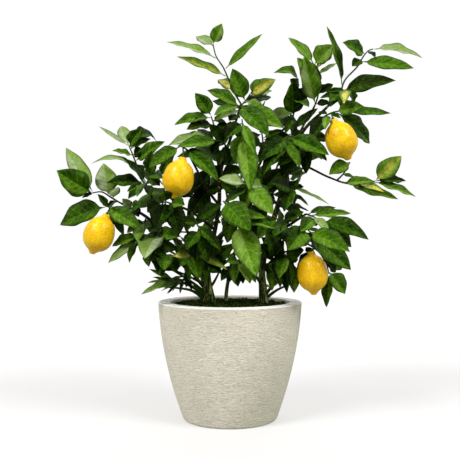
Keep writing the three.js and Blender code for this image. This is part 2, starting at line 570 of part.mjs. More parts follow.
// Triangles of the slab; both sides are split alike.
function bladeFaces(sizes) {
  const starts = sizes.map((_, i) => sizes.slice(0, i).reduce((a, b) => a + b, 0));
  const count = sizes.reduce((a, b) => a + b, 0);
  const upper = sizes.slice(1).flatMap((size, i) => stripFaces(starts[i], sizes[i], starts[i + 1], size));
  const right = starts.map((s, i) => s + sizes[i] - 1);
  const ring = [...starts, ...right.slice(sizes[0] > 1 ? 0 : 1, -1).reverse()];
  ring.push(...(sizes[0] === 3 ? [1] : []));
  const sides = ring.flatMap((a, i) => {
    const b = ring[(i + 1) % ring.length];
    return [[a, b, a + count], [b, b + count, a + count]];
  });
  return [...upper.flatMap(([a, b, c]) => [[a, c, b], [a + count, b + count, c + count]]), ...sides];
}

// Triangles between two rows of two or three points, or of one at the root or the tip.
function stripFaces(a, sizeA, b, sizeB) {
  const steps = Array.from({ length: Math.max(sizeA, sizeB) - 1 }, (_, i) => i);
  if (sizeA === 1) {
    return steps.map((i) => [a, b + i, b + i + 1]);
  }
  if (sizeB === 1) {
    return steps.map((i) => [a + i, b, a + i + 1]);
  }
  return steps.flatMap((i) => [[a + i, b + i, b + i + 1], [a + i, b + i + 1, a + i + 1]]);
}

// ---------------------------------------------------------------- sprays
function readStem([name, limbs]) {
  const tubes = limbs.map((route, i) => ({
    points: route.map(place),
    radii: route.map((p) => p[3]),
    sides: i === 0 ? STEM_SIDES.trunk : STEM_SIDES.limb,
  }));
  return { name, tubes };
}

function readSpray([name, stemName, branch, share, route, tips, rule], index, stems) {
  const stem = stems.find((item) => item.name === stemName);
  const root = pointAlong(stem.tubes[branch].points, share);
  const points = [root, ...route.map(place)];
  return { name, stem, points, tips, rule, seed: index + 1, leaves: [] };
}

// The twig runs a little past its last leaf, so that every blade is rooted inside it.
function twigSolid(spray) {
  const n = spray.points.length - 1;
  const radii = spray.points.map((_, i) => THREE.MathUtils.lerp(TWIG.rootRadius, TWIG.tipRadius, i / n));
  const run = spray.points[n].clone().sub(spray.points[n - 1]).normalize();
  const end = spray.points[n].clone().addScaledVector(run, TWIG.overrun);
  return limb([...spray.points.slice(0, -1), end], radii, TWIG.sides);
}

// The choices for one leaf whose tip is laid out by hand: its tip slides along the sight line.
function tipChoices(spray, [share, across, down, depth, width, turn, arch = BLADE.arch]) {
  const base = pointAlong(spray.points, share);
  return TIP_NUDGES.map((nudge) => {
    const reach = place([across, down, depth + nudge]).sub(base);
    return { base, reach, width, turn, arch, folded: width >= BLADE.foldedFrom };
  });
}

// The choices for leaf i of the growth rule: 144 degrees on from the leaf before it.
function ruleChoices(spray, i) {
  const [count, length, phase] = spray.rule;
  const share = 0.15 + 0.85 * (i + 0.5) / count;
  const base = pointAlong(spray.points, share);
  const run = pointAlong(spray.points, share + 0.05).sub(pointAlong(spray.points, share - 0.05)).normalize();
  const [a, b, c, e] = [0, 1, 2, 3].map((k) => draw(spray.seed, 10 * i + k));
  const open = radians(75 - 35 * share + 20 * (a - 0.5));
  const reachLength = length * (0.85 + 0.3 * c) * (1 - 0.25 * Math.abs(2 * share - 1.1));
  const turn = (base.y > 20 ? -1 : 1) * (10 + 50 * e);
  return RULE_NUDGES.map(([swing, shrink]) => {
    const round = 2 * Math.PI * (phase + 0.4 * i + swing);
    const side = vec(Math.cos(round), Math.sin(round), 0);
    side.addScaledVector(run, -side.dot(run)).normalize();
    const way = run.clone().multiplyScalar(Math.cos(open)).addScaledVector(side, Math.sin(open));
    way.z -= 0.25 + 0.2 * b;
    const reach = way.normalize().multiplyScalar(reachLength * shrink);
    const width = reachLength * shrink * 0.46;
    return { base, reach, width, turn, arch: BLADE.arch, folded: false };
  });
}

// ---------------------------------------------------------------- keeping blades apart
const placed = [];

function keep(owner, solid) {
  placed.push({ owner, solid, box: solid.boundingBox() });
}

function boxesMeet(a, b) {
  return [0, 1, 2].every((k) => a.min[k] <= b.max[k] && b.min[k] <= a.max[k]);
}

function meets(probe, items) {
  const box = probe.boundingBox();
  return items.some((item) => boxesMeet(box, item.box) && !probe.intersect(item.solid).isEmpty());
}

// Takes the first choice that stays clear of all else, or else one clear of other nodes.
function settle(spray, choices) {
  const own = placed.filter((item) => item.owner === spray.name || item.owner === spray.stem.name);
  const others = placed.filter((item) => item.owner !== spray.name && item.owner !== spray.stem.name);
  const stemOnly = own.filter((item) => item.owner === spray.stem.name);
  const free = choices.filter((leaf) => !meets(bladeSolid(leaf, GAP), others));
  const clear = (leaf, items) => !meets(bladeSolid(leaf, GAP, 0.2), items);
  const leaf = free.find((item) => clear(item, own)) ?? free.find((item) => clear(item, stemOnly));
  if (leaf) {
    const solid = bladeSolid(leaf);
    spray.leaves.push(solid);
    keep(spray.name, solid);
  }
}

function largestBody(solid) {
  return solid.decompose().sort((a, b) => b.volume() - a.volume())[0];
}

// ---------------------------------------------------------------- nodes
const MATERIALS = {
  pot: { name: "pot_cement", color: "#d6d2c4", roughness: 0.9 },
  soil: { name: "potting_soil", color: "#221c12", roughness: 1 },
  bark: { name: "bark", color: "#6b6243", roughness: 0.85 },
  leaf: { name: "leaf", color: "#3f671f", roughness: 0.42 },
  lemon: { name: "lemon_skin", color: "#f0b51c", roughness: 0.45 },
};

function nodeOf(name, solid, look) {
  const { vertProperties, triVerts, numProp } = solid.getMesh();
  const geometry = new THREE.BufferGeometry();
  const points = Float32Array.from({ length: (vertProperties.length / numProp) * 3 }, (_, i) => (
    vertProperties[Math.floor(i / 3) * numProp + (i % 3)]
  ));
  geometry.setAttribute("position", new THREE.BufferAttribute(points, 3));
  geometry.setIndex(new THREE.BufferAttribute(new Uint32Array(triVerts), 1));
  geometry.computeVertexNormals();
  const mesh = new THREE.Mesh(geometry, look);
  mesh.name = name;
  return mesh;
}

function looks() {
  return Object.fromEntries(Object.entries(MATERIALS).map(([key, { name, color, roughness }]) => {
    const look = new THREE.MeshStandardMaterial({ color, roughness, metalness: 0 });
    look.name = name;
    return [key, look];
  }));
}

function buildStem(stem) {
  const solids = stem.tubes.map(({ points, radii, sides }) => limb(points, radii, sides));
  stem.sleeve = Manifold.union(stem.tubes.map(({ points, radii, sides }) => limb(points, radii, sides, GAP)));
  stem.solid = Manifold.union(solids);
  solids.forEach((solid) => keep(stem.name, solid));
}

function buildLemon([name, sprayName, share, neckPoint, nosePoint, diameter], sprays) {
  const spray = sprays.find((item) => item.name === sprayName);
  const neck = place(neckPoint);
  const nose = place(nosePoint);
  const stalk = stalkSolid(pointAlong(spray.points, share), neck, nose);
  const solid = lemonSolid(neck, nose, diameter);
  spray.leaves.push(stalk);
  keep(spray.name, stalk);
  keep(name, solid);
  return { name, solid };
}

function growSprays(sprays) {
  sprays.forEach((spray) => spray.tips.forEach((tip) => settle(spray, tipChoices(spray, tip))));
  sprays.forEach((spray) => {
    for (let i = 0; i < spray.rule[0]; i += 1) {
      settle(spray, ruleChoices(spray, i));
    }
  });
}

function buildTree() {
  const look = looks();
  const group = new THREE.Group();
  group.name = "potted_lemon_tree";
  const stems = STEMS.map(readStem);
  const sprays = SPRAYS.map((line, index) => readSpray(line, index, stems));
  stems.forEach(buildStem);
  const pot = revolve(potProfile(), POT.sides);
  const soil = revolve(soilProfile(), SOIL.sides).subtract(Manifold.union(stems.map((stem) => stem.sleeve)));
  keep("pot", pot);
  keep("soil", soil);
  sprays.forEach((spray) => {
    spray.twig = twigSolid(spray);
    keep(spray.name, spray.twig);
  });
  const lemons = LEMONS.map((line) => buildLemon(line, sprays));
  growSprays(sprays);
  group.add(nodeOf("pot", pot, look.pot), nodeOf("soil", soil, look.soil));
  stems.forEach((stem) => group.add(nodeOf(stem.name, stem.solid, look.bark)));
  lemons.forEach((lemon) => group.add(nodeOf(lemon.name, lemon.solid, look.lemon)));
  sprays.forEach((spray) => {
    const whole = Manifold.union([spray.twig, ...spray.leaves]).subtract(spray.stem.sleeve);
    group.add(nodeOf(spray.name, largestBody(whole), look.leaf));
  });
  return group;
}

export default buildTree();
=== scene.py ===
"""Potted lemon tree: the fine meshes and finishes of every piece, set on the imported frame.

A cement-finished pot, its soil, four bark-covered stems, fifty leafy sprays and four lemons.
Metres, +Z up, origin at the centre of the pot's flat underside, front towards -Y.
"""
import logging
import math
from dataclasses import dataclass, field
from enum import Enum
from functools import partialmethod
from typing import Any, Callable, Sequence

import bpy
import numpy as np
from mathutils import Matrix, Vector
from mathutils.bvhtree import BVHTree
from mathutils.kdtree import KDTree


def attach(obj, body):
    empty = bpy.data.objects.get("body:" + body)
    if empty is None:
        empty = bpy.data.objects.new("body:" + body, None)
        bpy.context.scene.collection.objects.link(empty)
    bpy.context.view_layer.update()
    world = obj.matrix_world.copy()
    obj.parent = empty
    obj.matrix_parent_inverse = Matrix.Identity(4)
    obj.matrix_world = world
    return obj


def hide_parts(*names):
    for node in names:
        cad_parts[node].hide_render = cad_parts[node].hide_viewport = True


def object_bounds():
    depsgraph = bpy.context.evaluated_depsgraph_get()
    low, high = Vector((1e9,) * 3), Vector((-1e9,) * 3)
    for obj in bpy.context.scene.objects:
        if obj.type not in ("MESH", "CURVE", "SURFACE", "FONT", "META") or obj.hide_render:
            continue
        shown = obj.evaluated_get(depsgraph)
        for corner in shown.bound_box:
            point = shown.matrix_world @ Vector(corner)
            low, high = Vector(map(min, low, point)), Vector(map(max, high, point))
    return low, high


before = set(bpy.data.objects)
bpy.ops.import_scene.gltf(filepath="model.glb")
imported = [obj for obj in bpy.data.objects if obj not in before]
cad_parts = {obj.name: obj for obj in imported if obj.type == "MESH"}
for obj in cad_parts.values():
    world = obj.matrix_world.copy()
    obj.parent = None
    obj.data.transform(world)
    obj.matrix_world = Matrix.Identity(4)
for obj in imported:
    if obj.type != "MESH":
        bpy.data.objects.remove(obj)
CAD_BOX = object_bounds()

log = logging.getLogger("lemon_tree")
MM = 0.001
UP = Vector((0, 0, 1))
VIEWER = Vector((0, -1, 0))
# How near two points of a blade's rim are when they are made one.
WELD = 0.01 * MM

# Each stem's limbs, as routes of [across, down, depth, radius]; the first limb is the trunk.
STEMS = {
    "stem_left": [
        [[206, 318, -5, 6.5], [206, 301, -5, 6.4], [205, 288, -6, 6], [201, 272, -8, 5.4],
         [192, 256, -12, 4.8], [176, 240, -20, 4.2], [158, 226, -30, 3.6], [142, 214, -36, 3],
         [124, 205, -40, 2.4]],
        [[158, 226, -30, 2.8], [156, 212, -28, 2.8], [153, 200, -26, 2.6], [147, 187, -24, 2.4],
         [140, 177, -24, 2.2]],
        [[204, 285, -6, 2.8], [196, 280, -20, 2.6], [186, 275, -34, 2.2], [176, 271, -46, 1.8]],
        [[201, 272, -8, 3.6], [195, 250, 38, 3.4], [186, 228, 74, 3], [176, 206, 98, 2.4]],
        [[201, 272, -8, 3], [190, 264, -45, 2.8], [178, 256, -78, 2.2], [168, 250, -95, 1.9]],
    ],
    "stem_front": [
        [[213, 318, -20, 6], [213, 302, -20, 5.9], [210, 288, -22, 5.6], [208, 272, -24, 5.2],
         [210, 252, -26, 4.8], [215, 230, -26, 4.4], [219, 205, -26, 4], [220, 178, -26, 3.8],
         [224, 158, -24, 3.4], [230, 140, -22, 3], [236, 121, -20, 2.6], [241, 104, -20, 2.2]],
        [[220, 178, -26, 3], [218, 161, -24, 2.8], [217, 145, -22, 2.4], [215, 129, -20, 2]],
        [[219, 205, -26, 3], [206, 188, -60, 2.7], [196, 168, -84, 2.3], [187, 150, -92, 2]],
        [[210, 252, -26, 3.4], [219, 240, -70, 3.1], [229, 228, -112, 2.6], [238, 222, -138, 2.2]],
        [[215, 230, -26, 3.2], [203, 220, -66, 2.9], [188, 210, -98, 2.5], [172, 204, -116, 2]],
    ],
    "stem_middle": [
        [[226, 318, 12, 4.2], [226, 300, 12, 4.1], [227, 288, 14, 3.8], [230, 270, 18, 3.6],
         [236, 248, 25, 3.4], [243, 222, 33, 3.2], [250, 195, 40, 3], [258, 168, 42, 2.8],
         [270, 146, 36, 2.6], [283, 130, 28, 2.4], [293, 118, 22, 2.2]],
        [[236, 248, 25, 3.2], [232, 226, 66, 3], [228, 202, 98, 2.6], [224, 178, 116, 2.1]],
        [[243, 222, 33, 3.2], [258, 206, 74, 3], [270, 186, 104, 2.6], [278, 164, 118, 2.1]],
        [[250, 195, 40, 2.8], [250, 186, -10, 2.7], [248, 171, -58, 2.4], [245, 152, -88, 2.1],
         [244, 138, -98, 1.9]],
    ],
    "stem_right": [
        [[263.5, 320, -10, 10.6], [263.5, 303, -10, 10.2], [263, 290, -10, 8.6],
         [262, 272, -10, 7], [265, 250, -8, 6.3], [271, 228, -8, 5.7], [278, 205, -8, 5.2],
         [285, 182, -8, 4.6], [291, 160, -9, 4.1], [298, 140, -11, 3.6], [308, 125, -13, 3.2],
         [321, 113, -16, 2.8], [332, 102, -18, 2.5], [341, 92, -20, 2.2]],
        [[285, 182, -8, 2.8], [289, 169, -20, 2.7], [298, 163, -30, 2.5], [312, 169, -38, 2.3],
         [326, 176, -43, 2.1], [341, 182, -46, 1.9]],
        [[271, 228, -8, 3.4], [285, 227, -36, 3.1], [297, 220, -52, 2.6], [306, 214, -60, 2.2]],
        [[271, 228, -8, 3.2], [285, 240, -50, 2.9], [297, 244, -76, 2.5], [308, 244, -88, 2.1]],
        [[263, 284, -10, 3], [272, 286, -34, 2.7], [282, 278, -58, 2.3], [290, 264, -70, 1.9]],
        [[265, 250, -8, 3.6], [275, 236, 46, 3.3], [287, 217, 82, 2.8], [297, 197, 102, 2.2]],
        [[278, 205, -8, 3.2], [270, 197, -60, 2.9], [262, 190, -104, 2.4], [255, 188, -128, 2]],
        [[308, 125, -13, 2.6], [318, 121, -38, 2.3], [327, 115, -54, 1.9]],
        [[298, 140, -11, 2.8], [303, 126, 2, 2.6], [310, 115, 6, 2.3], [315, 105, 4, 2]],
    ],
}

# Sprays: name, stem, limb and share of the limb where the twig starts, the twig's route,
# leaves laid out one by one as [share of twig, across, down, depth, width, turn, arch],
# the growth rule's leaf count and, where it has leaves, their length and the share of a full
# turn that it starts at, and a letter for the tone of each leaf.
# The tone letters paint light and shade along with each leaf's green: dark letters for leaves in
# the bush's shadow, pale ones for painted light and sheen.
SPRAYS = [
    ["crown_left", "stem_front", 0, 1,
     [[234, 92, -22], [228, 78, -24], [223, 67, -24], [216, 56, -22], [213, 44, -20]],
     [[1, 222, 23.5, -34, 28, 84], [0.95, 196, 36.5, 16, 28, 64],
      [0.75, 166.5, 42, 0, 26, 44, 0.06], [0.55, 262.5, 33.7, -60, 23, 56, 0.03],
      [0.42, 176.5, 56.5, -60, 28, 48, 0.03], [0.2, 218.5, 79.5, 44, 30, 70]],
     [0], "bppbfy"],
    ["crown_fan", "stem_front", 0, 0.98, [[246, 100, -14], [250, 94, -6]],
     [[0.42, 232.3, 68.5, -25, 41, 80], [0.9, 276, 79.5, -44, 33, 78], [0.95, 268, 79, 30, 30, 66],
      [0.8, 272, 91, 0, 24, 60], [0.5, 264.5, 113, -10, 28, 75], [0.25, 271.5, 97, 6, 28, 56]],
     [0], "mybppd"],
    ["crown_front", "stem_front", 0, 0.93, [[239, 110, -40], [240, 105, -62]],
     [[0.8, 207, 90.3, -80, 32, 60], [0.95, 269, 137, -118, 46, 66], [0.9, 284, 128, -75, 44, 66],
      [0.6, 212, 101, -20, 28, 56], [0.5, 219, 119, -90, 22, 55], [0.85, 214, 115.5, -60, 24, 55]],
     [0], "mmgdpm"],
    ["upper_left", "stem_front", 1, 1, [[213, 122, -22], [211, 116, -24]],
     [[1, 195, 93, -36, 33, 80], [0.8, 174.3, 125, -50, 30, 52, 0.1],
      [0.3, 186.5, 129.7, -90, 34, 54, 0.05], [0.5, 236, 109, -70, 28, 45],
      [0.6, 228, 125, 30, 26, 45]],
     [0], "mmdms"],
    ["shelf_left", "stem_front", 0, 0.78, [[222, 142, -50], [214, 140, -70]],
     [[0.7, 177.5, 146.3, -100, 34, 54, 0.03], [0.95, 167, 146.8, -30, 30, 52, 0.12],
      [0.4, 231, 121, -30, 24, 60], [0.3, 208, 124, -80, 28, 60], [0.6, 212, 154, -40, 32, 60]],
     [0], "mpsds"],
    ["left_top", "stem_left", 1, 1, [[137, 166, -24], [132, 153, -24], [129, 146, -22]],
     [[1, 98.7, 126.3, -30, 11, 55], [1, 121.5, 126, 30, 28, 72], [0.95, 142, 128.5, -50, 30, 76],
      [0.95, 158, 143.5, -6, 42, 40, 0.4], [0.45, 165, 141.5, -64, 32, 62],
      [0.6, 112, 150.7, -50, 18, 45], [0.17, 91, 164, -46, 22, 30, 0.24],
      [0.8, 141, 143, 20, 22, 60]],
     [0], "ppmdmbpp"],
    ["left_mid", "stem_left", 1, 0.9, [[146, 184, -40], [152, 170, -50]],
     [[0.2, 106.7, 183, -84, 32, 58, 0.05], [0.45, 127, 191.7, -66, 20, 60],
      [0.8, 163, 178.5, -110, 24, 60], [0.8, 152, 150, -108, 30, 74], [0.5, 150, 197, -90, 20, 60]],
     [1, 65, 0.4], "dmmmd"],
    ["far_left", "stem_left", 0, 1, [[112, 198, -50], [102, 192, -54], [92.5, 193, -52]],
     [[0.95, 66, 147.6, -24, 38, 66], [1, 56.5, 170.5, -86, 54, 76],
      [0.45, 103.5, 163.2, -80, 46, 82], [0.3, 118, 187, -20, 24, 70]],
     [0], "pmpp"],
    ["far_left_low", "stem_left", 0, 0.93, [[124, 208, -60], [106, 206.5, -52]],
     [[0.95, 60, 225, -24, 54, 62, 0.08], [0.95, 141.7, 229, -105, 38, 66],
      [0.9, 124, 236, -66, 24, 50], [0.1, 122, 198.5, -84, 20, 70], [0.9, 97.5, 194, -80, 16, 60],
      [0.15, 141, 205, -92, 28, 60]],
     [0], "mmdpdm"],
    ["left_low", "stem_left", 0, 0.84, [[142, 228, -62], [138, 240, -74]],
     [[1, 108, 263, -90, 26, 50], [0.8, 112, 246.3, -70, 28, 52], [1, 129.5, 263, -110, 20, 60],
      [0.9, 124.5, 249, -50, 26, 60], [0.3, 137.5, 242, -118, 30, 70],
      [0.2, 127, 233, -60, 26, 60]],
     [0], "pmddbm"],
    ["left_inner", "stem_left", 0, 0.72, [[156, 236, -70], [152, 246, -86]],
     [[0.4, 180, 237, -120, 32, 62], [0.9, 166, 257, -130, 34, 72], [0.4, 144, 259, -142, 50, 76],
      [1, 160, 274, -84, 30, 50], [0.9, 149, 267, -100, 28, 55]],
     [0], "mdpdd"],
    ["lemon_shoot_left", "stem_front", 2, 1, [[183, 147, -98], [178, 146, -104]],
     [[0.7, 148.3, 168.3, -116, 34, 60, 0.05], [0.2, 218.5, 181.5, -124, 36, 60, 0.06],
      [0.9, 160, 176, -66, 30, 55], [0.25, 205, 163, -60, 28, 50]],
     [0], "mmmd"],
    ["centre_high", "stem_right", 0, 0.7, [[290, 136, -60], [282, 140, -82]],
     [[0.6, 256, 163.5, -124, 44, 62, 0.05], [0.6, 329, 155, -90, 42, 62],
      [0.9, 262, 176, -130, 32, 60], [0.8, 300, 168, -126, 30, 60]],
     [0], "dmdm"],
    ["centre_tall", "stem_middle", 3, 1, [[243, 130, -108], [242, 119, -114]],
     [[0.3, 250, 192, -146, 40, 80], [0.85, 256, 155, -140, 22, 75], [0.8, 226, 138, -120, 33, 66],
      [0.4, 236.5, 165, -120, 34, 70]],
     [0], "gbdg"],
    ["centre_mid", "stem_right", 6, 1, [[250, 187, -140], [246, 184, -150]],
     [[0.6, 273.5, 214.7, -188, 40, 72], [0.9, 218.7, 178.3, -140, 26, 60],
      [0.8, 262, 186, -170, 28, 75], [0.6, 244, 211, -136, 28, 60], [0.3, 270, 200, -96, 32, 60]],
     [1, 66, 0.55], "bppmm"],
    ["centre_low", "stem_front", 3, 1, [[235, 214, -146], [228, 206, -152], [223, 201, -156]],
     [[1, 251, 231, -190, 50, 78], [0.02, 257, 277.5, -186, 52, 80], [0.1, 277, 229, -190, 24, 55],
      [0.3, 266, 218, -176, 22, 60], [0.4, 227, 243, -126, 30, 60]],
     [0], "mbmmd"],
    ["centre_left", "stem_front", 4, 1, [[166, 202, -128], [160, 203, -136]],
     [[0.3, 178.5, 236, -156, 42, 66], [0.5, 157, 229, -156, 46, 72],
      [0.9, 147, 212, -140, 34, 66], [0.1, 184, 190, -60, 30, 60], [0.5, 163, 190, -128, 30, 60]],
     [1, 66, 0.8], "sssddd"],
    ["centre_left_low", "stem_front", 4, 0.6, [[196, 222, -110], [200, 230, -130]],
     [[0.5, 184, 222, -120, 28, 62], [0.9, 208, 262, -146, 34, 66], [0.8, 222, 252, -156, 24, 60],
      [0.4, 222, 204, -112, 32, 60], [1, 186, 250, -146, 32, 60]],
     [0], "ddddd"],
    ["top_centre", "stem_middle", 0, 1, [[294, 112, 18], [296, 98, 16], [299, 84, 14]],
     [[1, 273.5, 73, -6, 32, 44, 0.28], [0.1, 292.6, 81, -6, 45, 84], [0.35, 311, 84, 34, 32, 66],
      [0.7, 322, 84, 20, 24, 45], [0.3, 266.5, 116, 50, 32, 66]],
     [0], "mdddp"],
    ["top_tall", "stem_right", 8, 1, [[318, 95, 0], [318, 80, -4], [314, 64, -8]],
     [[0.03, 304, 55, -36, 42, 86], [1, 288, 37.6, 0, 30, 55], [0.98, 333, 44.8, -20, 45, 66],
      [0.85, 334.5, 50, 30, 22, 60], [0.75, 337, 63, 16, 14, 50], [0.4, 297, 57.5, -8, 44, 78],
      [0.35, 333, 84, 10, 24, 60]],
     [0], "bbbypmd"],
    ["right_top", "stem_right", 0, 1,
     [[345, 80, -22], [357, 67, -24], [363, 57, -24], [368, 51, -22], [373, 49, -20]],
     [[0.1, 326.5, 26, -30, 26, 48], [0.68, 342.5, 42.5, -50, 36, 64],
      [1, 422.3, 58, -10, 38, 40, 0.07], [0.55, 352, 66.5, -36, 22, 68],
      [0.5, 414, 68.3, -60, 34, 64], [0.8, 375, 57.5, -40, 16, 60]],
     [0], "mmpdgd"],
    ["right_top_low", "stem_right", 0, 0.99, [[346, 90, -30], [352, 90, -38]],
     [[0.08, 396, 80.5, -56, 40, 64, 0.1], [0.5, 325, 92, -30, 13, 60],
      [0.6, 344, 104, -60, 24, 66], [0.8, 354, 103, -20, 22, 60], [0.3, 329, 102, -44, 28, 60]],
     [0], "ddymm"],
    ["right_mid", "stem_right", 7, 1, [[334, 112, -60], [342, 111, -64]],
     [[0.6, 363.5, 106, -66, 36, 60], [0.9, 391, 113.3, -46, 22, 60],
      [0.6, 369.8, 143.7, -14, 40, 70, 0.08], [0.05, 325, 130, -90, 18, 60],
      [0.1, 310, 141, -84, 34, 60]],
     [0], "mmmbd"],
    ["right_inner", "stem_right", 0, 0.72, [[306, 140, -38], [307, 146, -56]],
     [[0.8, 286, 156, -100, 34, 62], [0.9, 322, 160, -60, 26, 50], [0.5, 330, 138, -30, 30, 55],
      [0.7, 300, 152, -106, 30, 60]],
     [0], "mbdm"],
    ["right_low_mid", "stem_right", 1, 0.93, [[344, 173, -48], [350, 162, -52]],
     [[1, 329, 174.7, -70, 30, 70], [0.4, 354, 177, -44, 11, 50]],
     [0], "bm"],
    ["right_low_tip", "stem_right", 1, 1, [[352, 184, -48], [364, 183, -50], [375, 181, -50]],
     [[0.1, 374, 181, -84, 22, 60], [0.2, 398.3, 199.3, -76, 28, 60], [1, 401.5, 156, -60, 40, 74],
      [1, 406, 181, -20, 26, 50], [0.9, 416, 197, -50, 26, 45], [0.5, 384, 192, -110, 20, 60]],
     [0], "bmfdby"],
    ["low_right_top", "stem_right", 2, 1, [[314, 217, -66], [322, 222, -72]],
     [[0.3, 351.3, 213.5, -66, 26, 45, 0.05], [0.9, 368.8, 239.8, -100, 38, 62, 0.17],
      [0.8, 351.5, 247, -56, 44, 66], [0.1, 336, 207.5, -20, 18, 45],
      [0.6, 300, 232, -106, 34, 62], [0.45, 329, 234, -118, 20, 66]],
     [0], "mddmmp"],
    ["low_right_mid", "stem_right", 2, 0.8, [[305, 226, -86], [312, 234, -100]],
     [[0.6, 287, 250.5, -126, 50, 76], [0.8, 350, 252, -136, 44, 64],
      [0.9, 351, 270, -116, 48, 70], [0.95, 342, 270, -70, 34, 60]],
     [0], "mmmd"],
    ["low_right_lemon", "stem_right", 3, 1, [[318, 251, -84], [326, 263, -76], [329, 274, -70]],
     [[0.9, 345, 294, -84, 36, 70], [1, 326.5, 307.5, -80, 24, 60], [0.3, 341, 270, -98, 36, 64],
      [0.5, 297, 270, -60, 44, 60]],
     [0], "mmdd"],
    ["low_right_inner", "stem_right", 4, 1, [[288, 258, -80], [284, 254, -92]],
     [[0.3, 294, 293, -106, 32, 66], [0.8, 279, 279, -126, 30, 62], [0.9, 304, 250, -100, 36, 64],
      [0.5, 272, 262, -60, 28, 55]],
     [1, 60, 0.1], "mmddd"],
    ["right_core", "stem_right", 0, 0.56, [[290, 192, -50], [292, 186, -70]],
     [[0.6, 308.5, 206, -86, 11, 50], [0.9, 284, 212, -116, 30, 62], [0.8, 270, 182, -126, 36, 64],
      [0.3, 329.7, 204.5, -64, 14, 34, 0.02], [0.4, 304, 187, -60, 22, 45]],
     [0], "dddpd"],
    ["right_core_low", "stem_right", 0, 0.42, [[282, 222, -50], [286, 226, -70]],
     [[0.7, 273, 237, -116, 26, 60], [0.5, 304, 212, -80, 30, 50], [0.9, 264, 244, -126, 34, 66],
      [0.8, 290, 250, -106, 36, 62]],
     [1, 64, 0.9], "mmmdd"],
    ["low_left_front", "stem_left", 4, 1, [[162, 254, -104], [158, 258, -110]],
     [[0.3, 163.5, 270.5, -138, 36, 76], [0.9, 158, 276, -136, 16, 60]],
     [0], "md"],
    ["low_left_mid", "stem_left", 4, 0.5, [[190, 256, -90], [194, 252, -104]],
     [[0.6, 172, 256, -160, 20, 62], [0.9, 228, 270, -146, 18, 60], [0.8, 199, 279, -126, 34, 68],
      [0.4, 178, 266, -64, 30, 60]],
     [0], "yfmm"],
    ["low_left_ground", "stem_left", 2, 0.7, [[184, 280, -40], [176, 284, -46]],
     [[0.6, 141, 294.7, -80, 26, 34, 0.06], [0.9, 161, 291.5, -30, 9, 30],
      [0.5, 172, 292, -70, 9, 30], [0.7, 160, 280, -10, 9, 30], [1, 152, 277, -76, 10, 40],
      [0.95, 149, 269, -70, 14, 50], [0.9, 163, 287, -90, 10, 40], [0.8, 147, 283, -50, 13, 30],
      [0.3, 166, 294.5, -16, 9, 30], [0.25, 166, 283, 20, 10, 30]],
     [0], "ppmpmbmpmd"],
    ["low_middle", "stem_middle", 0, 0.2, [[236, 262, -20], [240, 262, -36]],
     [[0.6, 234, 283, -64, 28, 62], [0.9, 250, 284, -74, 30, 62], [0.7, 226, 262, -60, 28, 55],
      [0.5, 252, 262, -10, 28, 55]],
     [1, 56, 0.2], "bbmdd"],
    ["back_left", "stem_left", 3, 1, [[168, 192, 112], [158, 178, 126]],
     [], [6, 84, 0.1], ""],
    ["back_left_low", "stem_left", 3, 0.6, [[176, 232, 100], [166, 236, 130]],
     [], [6, 80, 0.45], ""],
    ["back_middle", "stem_middle", 1, 1, [[220, 160, 134], [216, 144, 146]],
     [], [6, 86, 0.3], ""],
    ["back_middle_low", "stem_middle", 1, 0.6, [[222, 214, 120], [216, 220, 154]],
     [], [6, 82, 0.7], ""],
    ["back_right", "stem_middle", 2, 1, [[286, 150, 132], [294, 138, 142]],
     [], [6, 80, 0.55], ""],
    ["back_right_low", "stem_middle", 2, 0.6, [[272, 200, 126], [280, 204, 158]],
     [], [6, 82, 0.05], ""],
    ["back_far_right", "stem_right", 5, 1, [[290, 184, 120], [288, 170, 134]],
     [], [6, 62, 0.85], ""],
    ["back_far_right_low", "stem_right", 5, 0.6, [[292, 226, 100], [304, 236, 128]],
     [], [6, 76, 0.25], ""],
    ["inner_left", "stem_front", 0, 0.64, [[204, 192, 26], [194, 196, 44]],
     [[0.9, 170, 188, 24, 40, 55], [0.3, 187, 219.5, -10, 40, 70], [0.5, 196, 172, 70, 36, 55],
      [0.3, 197, 214, 30, 32, 55], [0.6, 176, 170, 80, 36, 45], [0.8, 214, 166, -40, 40, 62]],
     [1, 66, 0.2], "sssddss"],
    ["inner_middle", "stem_middle", 0, 0.55, [[256, 196, 34], [264, 190, 30]],
     [[0.9, 284, 168, 0, 38, 60], [0.7, 268, 162, 50, 38, 60], [0.6, 240, 172, 66, 36, 55],
      [0.4, 262, 232, 40, 40, 60], [0.6, 244, 206, 0, 36, 60], [0.2, 252, 246, 30, 34, 60]],
     [1, 66, 0.8], "ddddsds"],
    ["inner_low", "stem_front", 0, 0.3, [[200, 262, -40], [192, 258, -54]],
     [[0.5, 216, 246, -100, 34, 60], [0.9, 174, 246, -90, 34, 55], [0.7, 206, 282, -90, 32, 55],
      [0.3, 222, 274, -80, 34, 60], [0.8, 190, 238, -100, 34, 60], [0.35, 228, 248, -48, 32, 60]],
     [1, 60, 0.5], "dddddds"],
    ["inner_right", "stem_right", 0, 0.24, [[272, 262, -40], [276, 256, -56]],
     [[0.6, 276.5, 278.5, -86, 30, 66], [0.9, 256, 246, -100, 34, 60],
      [0.7, 284, 240, -60, 33, 60], [0.4, 296, 262, -60, 33, 50], [0.8, 268, 234, -84, 32, 60]],
     [1, 60, 0.9], "mddddd"],
    ["inner_top", "stem_right", 0, 0.66, [[291, 139, 18], [293, 130, 44]],
     [[0.9, 274, 112, 80, 36, 60], [0.6, 306, 136, 50, 36, 60], [0.8, 270, 150, 84, 38, 60],
      [0.9, 284, 118, 76, 26, 60], [1, 318, 108, 56, 22, 60]],
     [1, 60, 0.4], "dddddd"],
    ["back_top", "stem_middle", 0, 0.75, [[262, 134, 62], [258, 118, 80]],
     [], [6, 78, 0.6], "dddddd"],
]

